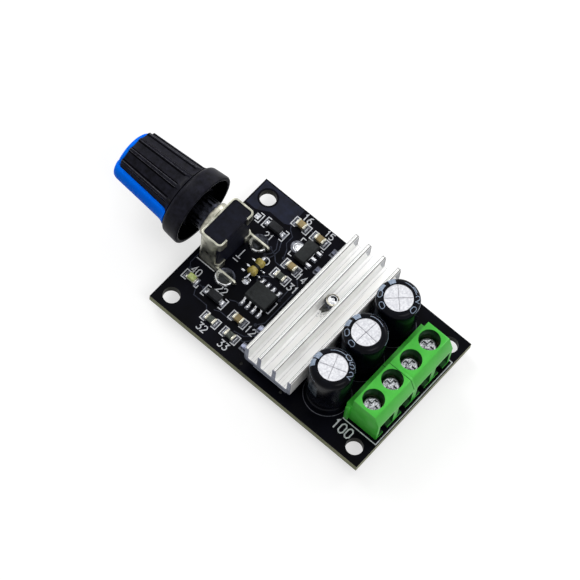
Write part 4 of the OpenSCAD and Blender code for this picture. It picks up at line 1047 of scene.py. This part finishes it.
BOWL_RIM = ((1.2, 0.12), (1.36, 0.24), (1.5, 0.42), (1.62, 0.5), (1.76, 0.42), (1.86, 0.22), (1.95, 0.0),
            (1.2, 0.0))
BOWL_FLOOR = ((0.0, 0.1), (0.7, 0.06), (1.0, 0.07), (1.25, 0.13), (1.25, 0.0), (0.0, 0.0))
LUG_SHADE_Y = 0.35
LUG_JOINT_L = 3.0
FILLET_L = 0.3
TAB_PAD = ((0.0, 0.1), (0.56, 0.1), (0.61, 0.04), (0.67, 0.04), (0.73, 0.12), (0.84, 0.16), (0.92, 0.11),
           (0.96, 0.0), (0.0, 0.0))
SOCKET = ((0.0, 0.3), (0.34, 0.26), (0.42, 0.14), (0.52, 0.12), (0.66, 0.2), (0.78, 0.14), (0.84, 0.0),
          (0.0, 0.0))
FOOT_INSET, TOE_STEP, REGULATOR_INSET = 0.22, 0.48, 0.35
# Half length, half width and height of the lumps of solder
CHIP_HEEL, CHIP_TOE = (0.29, 0.46, 0.3), (0.2, 0.24, 0.34)
DIODE_LUMP, REGULATOR_LUMP, SPOT_LUMP = (0.46, 0.5, 0.34), (0.48, 0.29, 0.26), (0.42, 0.16, 0.07)


def dish(centre, profile, uneven, closed=False):
    """Solder drawn up into a ring round a pin."""
    def wander(angle, radius, height):
        spot = Vector((math.cos(angle) + centre[0], math.sin(angle) + centre[1], 2 * radius))
        return radius * (1 + uneven * noise.noise(spot))

    return lathe(profile, 56, upright(centre, TOP), closed=closed, radius_at=wander)


def end_fillet(low, high, side):
    """Solder that climbs the end face of a small part."""
    x = high.x if side > 0 else low.x
    rise = high.z - PAD_TOP
    profile = ((0.0, 0.0), (FILLET_L, 0.0), (FILLET_L, 0.03), (0.17, 0.14 * rise), (0.07, 0.4 * rise),
               (0.0, 0.75 * rise))
    verts = []
    for y, narrow in ((low.y + 0.05, 0.12), (high.y - 0.05, -0.12)):
        verts += [(x + side * out, y + narrow * out / FILLET_L, PAD_TOP + up) for out, up in profile]
    count = len(profile)
    faces = [(k, (k + 1) % count, (k + 1) % count + count, k + count) for k in range(count)]
    return verts, faces + [tuple(range(count)), tuple(range(2 * count - 1, count - 1, -1))]


def part_fillets():
    """A fillet on the outer end of each plated end, found from its partner across the part."""
    ends = islands("chip_end_caps")
    fillets = []
    for low, high in ends:
        for other_low, _ in ends:
            step = other_low.x - low.x
            if abs(other_low.y - low.y) < 0.05 and 0.1 < abs(step) < 2.5:
                fillets.append(end_fillet(low, high, -1 if step > 0 else 1))
    return fillets


def lead_blobs():
    """Lumps of solder on the feet of flat leads: the chips', then the others' and the tinned spots."""
    chip_y = centre_of("controller_chip_body").y
    chips, others = [], []
    for low, high in islands("controller_chip_leads"):
        middle = middle_of((low, high))
        outward = 1 if middle.y > chip_y else -1
        foot = (high.y if outward > 0 else low.y) - FOOT_INSET * outward
        chips.append(blob((middle.x, foot, PAD_TOP), CHIP_HEEL))
        chips.append(blob((middle.x, foot - TOE_STEP * outward, PAD_TOP), CHIP_TOE))
    for box in islands("diode_leads"):
        others.append(blob((*middle_of(box), PAD_TOP), DIODE_LUMP))
    for low, high in islands("regulator_leads"):
        chips.append(blob((high.x - REGULATOR_INSET, (low.y + high.y) / 2, PAD_TOP), REGULATOR_LUMP))
    for x, y in TINNED_SPOTS:
        others.append(blob((x, y, TOP), SPOT_LUMP, 0.9))
    return chips, others


def lug_bowls():
    """A bowl of solder round each of the potentiometer's two lugs, its rim darker behind the lug as painted
    shade.
    """
    bowls = [middle_of((low, high)) for low, high in islands("solder_joints")
             if high.z < TOP / 2 and high.x - low.x > LUG_JOINT_L]
    for side, centre in enumerate(bowls):
        rim = dish(centre, BOWL_RIM, 0.05, closed=True)
        piece(f"lug_solder_{side + 1}", rim, "bright_solder", ROOT)
        # The rim's half behind the lug is painted darker as shade.
        recoloured(rim, "darker_tin", lambda middle, normal: middle.y > centre.y + LUG_SHADE_Y)
        basin = dish(centre, BOWL_FLOOR, 0.05)
        piece(f"lug_basin_{side + 1}", basin, "bowl_shade", ROOT)


def joint_piece():
    """Solder of every joint: dull on the pads, bright on the cones under the board."""
    joints = dressed("solder_joints", 0.02, segments=1, finish="pad_tin")
    recoloured(joints.data, "solder", lambda middle, normal: middle.z < 0)


def under_copper():
    """Traces and wide strips of copper on the underside."""
    strips = [ribbon(line, width, -TRACE_H, 0.0) for width, line in UNDER_TRACES]
    joined("under_copper", strips, "covered_copper")


def small_solder():
    """Fillets, lumps over leads, the regulator's tab pad, the open pad and the link's socket."""
    joined("part_fillets", part_fillets(), "solder")
    chip_blobs, other_blobs = lead_blobs()
    joined("chip_solder", chip_blobs, "bright_solder", 60)
    joined("lead_solder", other_blobs, "solder", smooth=60)
    low, high = islands("regulator_leads")[0]
    pad = dish((low.x - 0.12, (low.y + high.y) / 2), TAB_PAD, 0.02)
    piece("tab_pad", pad, "bright_solder", ROOT)
    joined("open_pad", [ribbon(OPEN_PAD, OPEN_PAD_W)], "solder")
    piece("link_socket", dish(link_end(-1), SOCKET, 0.08), "solder")


joint_piece()
under_copper()
lug_bowls()
small_solder()


# Black band of the link, end of the heat sink's screw with its painted shadow, and lines on the heat sink
# that are partly painted shade

BAND_R, BAND_W = 0.78, 0.62
SCREW_R = 1.2
THREAD_PITCH, THREAD_PROUD = 0.45, 0.09
CORE_PROUD = 0.01
# Outline of the painted shadow and reflection of the screw, round its axis
SCREW_SHADOW_OUTLINE = ((-1.2, 0.2), (-1.24, -1.9), (-1.0, -2.5), (-0.55, -2.3), (-0.3, -2.7), (0.1, -2.0), (0.5, -1.5),
           (0.9, -1.0), (0.2, -0.9), (-0.6, -0.6), (-1.0, -0.1))
CHIPS = ((-0.2, -2.9), (-0.6, -3.1), (0.1, -3.3), (-0.4, -3.7), (0.3, -2.7))
CHIP_LUMP = (0.16, 0.1, 0.1)
SINK_BASE_T, SINK_FIN_T = 1.2, 0.85
FIN_SHARES = (0, 0.296, 0.643, 1)
TOP_LINES = ((0.15, 0.08), (0.36, 0.05), (0.67, 0.17))
SCREW_AXIS = centre_of("heat_sink_screw")
SINK_LOW, SINK_HIGH = (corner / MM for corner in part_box("heat_sink"))
CHANNEL_Z = SINK_LOW.z + SINK_BASE_T


def link_band():
    """Black band round the middle of the link."""
    centre = centre_of("link_body")
    half, chamfer = BAND_W / 2, BAND_R - 0.02
    profile = [(BAND_R - 0.2, -half), (chamfer, -half), (BAND_R, -half + 0.04), (BAND_R, half - 0.04),
               (chamfer, half), (BAND_R - 0.2, half)]

    def place(x, y, height):
        return (centre.x + x, centre.y + height, centre.z + y)

    piece("link_band", lathe(profile, 40, place), "band_black", ROOT)


def screw_end():
    """Rings of the thread above the channel floor, and the bright end with a dark crescent and a dark arc at
    its rim, both painted shade.
    """
    place = upright(SCREW_AXIS)
    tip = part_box("heat_sink_screw")[1].z / MM
    core, crest = SCREW_R + CORE_PROUD, SCREW_R + THREAD_PROUD
    rows = []
    for k in range(4):
        z = tip - 0.12 - k * THREAD_PITCH
        rows += [(core, z), (crest, z - 0.12), (crest, z - 0.16), (core, z - 0.3)]
    profile = [(SCREW_R - 0.2, tip - 0.12)] + rows + [(SCREW_R - 0.2, rows[-1][1])]
    piece("screw_thread", lathe(profile, 48, place), "pad_tin", ROOT, 25)
    face = [(0.0, tip + 0.01), (0.86, tip + 0.01), (0.94, tip - 0.04), (0.94, tip - 0.1), (0.0, tip - 0.1)]
    end = lathe(face, 40, place, closed=False)
    piece("screw_end", end, "bright_solder", ROOT, 30)
    x, y = SCREW_AXIS.to_2d()
    # The dark crescent and the arc at the rim are painted shade of the dimple and of the end's edge.
    marks = [ribbon(arc((x, y + 0.1), 0.5, 0, 180, 16), 0.4, tip - 0.02, tip + 0.03),
             ribbon(arc((x, y), 1.0, 20, 215, 24), 0.16, tip - 0.1, tip + 0.02)]
    joined("screw_end_shade", marks, "bowl_shade")


def painted_screw_shadow():
    """Painted shadow and reflection of the screw on the channel floor, and bright chips that cutting the
    thread left in the channel.
    """
    def moved(points):
        return [(SCREW_AXIS.x + x, SCREW_AXIS.y + y) for x, y in points]

    # The dark patch is a painted shadow and reflection of the screw.
    sheet("painted_screw_shadow", moved(SCREW_SHADOW_OUTLINE), [], CHANNEL_Z, CHANNEL_Z + 0.01, "screw_shadow_dark")
    chips = [blob((x, y, CHANNEL_Z), CHIP_LUMP, 0.8) for x, y in moved(CHIPS)]
    joined("metal_chips", chips, "bright_solder", 60)


def fin_patch(side, top_y, foot_y):
    """Patch on a fin's side that starts at its far end."""
    near, top, foot = SINK_HIGH.y - 0.1, SINK_HIGH.z - 0.12, CHANNEL_Z + 0.35
    corners = [(top_y, top), (near, top), (near, foot), (foot_y, foot)]
    return [(side, y, z) for y, z in corners], [(0, 1, 2, 3)]


def sink_lines():
    """Lines along the fins' tops, partly die lines and partly painted edge shade; painted shade across the
    fins' far ends, along the channel floors by the fins' feet, and as patches and rims on the fins' sides at
    their far ends.
    """
    low, high = SINK_LOW, SINK_HIGH
    edges = [low.x + share * (high.x - low.x - SINK_FIN_T) for share in FIN_SHARES]
    soft, dark, patches, rims = [], [], [], []
    for left, end in zip(edges, edges[1:]):
        start = left + SINK_FIN_T
        # Soft lines by each fin's foot are painted shade.
        for x, width in ((start + 0.08, 0.14), (start + 0.62, 0.06), (end - 0.7, 0.06), (end - 0.1, 0.14)):
            line = [(x, low.y + 0.02), (x, high.y - 0.02)]
            soft.append(ribbon(line, width, CHANNEL_Z - 0.01, CHANNEL_Z + 0.006))
    for edge in edges:
        # Lines on the fins' tops are partly die lines and partly painted edge shade; the line across the far
        # end is painted shade.
        marks = [(((edge + inset, low.y + 0.05), (edge + inset, high.y - 0.1)), width)
                 for inset, width in TOP_LINES]
        marks.append((((edge + 0.1, high.y - 0.17), (edge + SINK_FIN_T - 0.1, high.y - 0.17)), 0.09))
        dark += [ribbon(line, width, high.z - 0.02, high.z + 0.004) for line, width in marks]
        side = edge + SINK_FIN_T + 0.004
        # The patches and rims at the fins' far ends are painted shade.
        patches.append(fin_patch(side, high.y - 1.7, high.y - 0.7))
        rims.append(fin_patch(side + 0.008, high.y - 0.24, high.y - 0.24))
    joined("channel_lines", soft, "channel_shade")
    joined("fin_lines", dark, "fin_shade")
    piece("fin_ends", thickened(*gather(patches), depth=0.006), "channel_shade")
    piece("fin_rims", thickened(*gather(rims), depth=0.006), "fin_shade")


link_band()
screw_end()
painted_screw_shadow()
sink_lines()


# Stage, lights and camera

FLOOR_SHADE, FLOOR_GLOW = 0.5, 0.6
FLOOR_HALF = 2.0
WORLD_LEVEL = 0.36


def seen_rays(tree):
    """One for rays that show the background: from the camera, off shiny surfaces and through clear ones."""
    light = tree.nodes.new("ShaderNodeLightPath")
    seen = light.outputs["Is Camera Ray"]
    for other in ("Is Glossy Ray", "Is Transmission Ray"):
        seen = worked_out(tree, "MAXIMUM", seen, light.outputs[other])
    return seen


def floor_material():
    """White floor that keeps a soft shadow and reads as the photograph's plain background."""
    mat, tree, shader = new_material("floor")
    glow = spread(tree, seen_rays(tree), 0.0, FLOOR_GLOW, 0.0, 1.0)
    feed(tree, shader, {"Base Color": (FLOOR_SHADE, FLOOR_SHADE, FLOOR_SHADE, 1), "Roughness": 1.0,
                        "Specular IOR Level": 0.0, "Emission Color": (1, 1, 1, 1), "Emission Strength": glow})
    return mat


def stage_floor():
    """Floor on which the lowest point of the part stands."""
    z = cad_bounds[0][2]
    corners = [(-FLOOR_HALF, -FLOOR_HALF, z), (FLOOR_HALF, -FLOOR_HALF, z), (FLOOR_HALF, FLOOR_HALF, z),
               (-FLOOR_HALF, FLOOR_HALF, z)]
    mesh = bpy.data.meshes.new("floor")
    mesh.from_pydata(corners, [], [(0, 1, 2, 3)])
    mesh.materials.append(floor_material())
    linked("floor", mesh)


def world_light():
    """Even fill, with a white surround for the camera and for reflections."""
    world = bpy.data.worlds.new("studio")
    bpy.context.scene.world = world
    world.use_nodes = True
    tree = world.node_tree
    level = spread(tree, seen_rays(tree), WORLD_LEVEL, 1.0, 0.0, 1.0)
    feed(tree, tree.nodes["Background"], {"Color": (1, 1, 1, 1), "Strength": level})


def area_light(name, place, size, power):
    """Rectangular lamp that looks at the origin."""
    lamp = bpy.data.lights.new(name, "AREA")
    lamp.shape = "RECTANGLE"
    lamp.size, lamp.size_y = size
    lamp.energy = power
    obj = linked(name, lamp)
    obj.location = place
    obj.rotation_euler = (-Vector(place)).to_track_quat("-Z", "Y").to_euler()


def photo_camera():
    """Camera with the place, aim, roll and focal length of the photograph."""
    azimuth, elevation = math.radians(VIEW_AZIMUTH), math.radians(VIEW_ELEVATION)
    back = Vector((math.sin(azimuth) * math.cos(elevation), -math.cos(azimuth) * math.cos(elevation),
                   math.sin(elevation)))
    data = bpy.data.cameras.new("camera")
    data.sensor_width = SENSOR_MM
    data.lens = SENSOR_MM * FOCAL_PX / PHOTO_PX
    data.clip_start = 0.01
    camera = linked("camera", data)
    turn = (-back).to_track_quat("-Z", "Y").to_matrix() @ Matrix.Rotation(math.radians(VIEW_ROLL), 3, "Z")
    camera.matrix_world = Matrix.Translation(Vector(AIM_MM) * MM + back * VIEW_DISTANCE) @ turn.to_4x4()
    bpy.context.scene.camera = camera


stage_floor()
world_light()
area_light("overhead", (-0.17, 0.27, 0.7), (0.9, 0.7), 0.6)
area_light("left_softbox", (-0.5, 0.15, 0.35), (0.3, 0.4), 1.8)
area_light("right_softbox", (0.4, -0.05, 0.5), (0.3, 0.3), 1.0)
area_light("back_softbox", (0.0, 0.6, 0.3), (0.5, 0.25), 1.4)
photo_camera()
bpy.context.scene.view_settings.view_transform = "Standard"
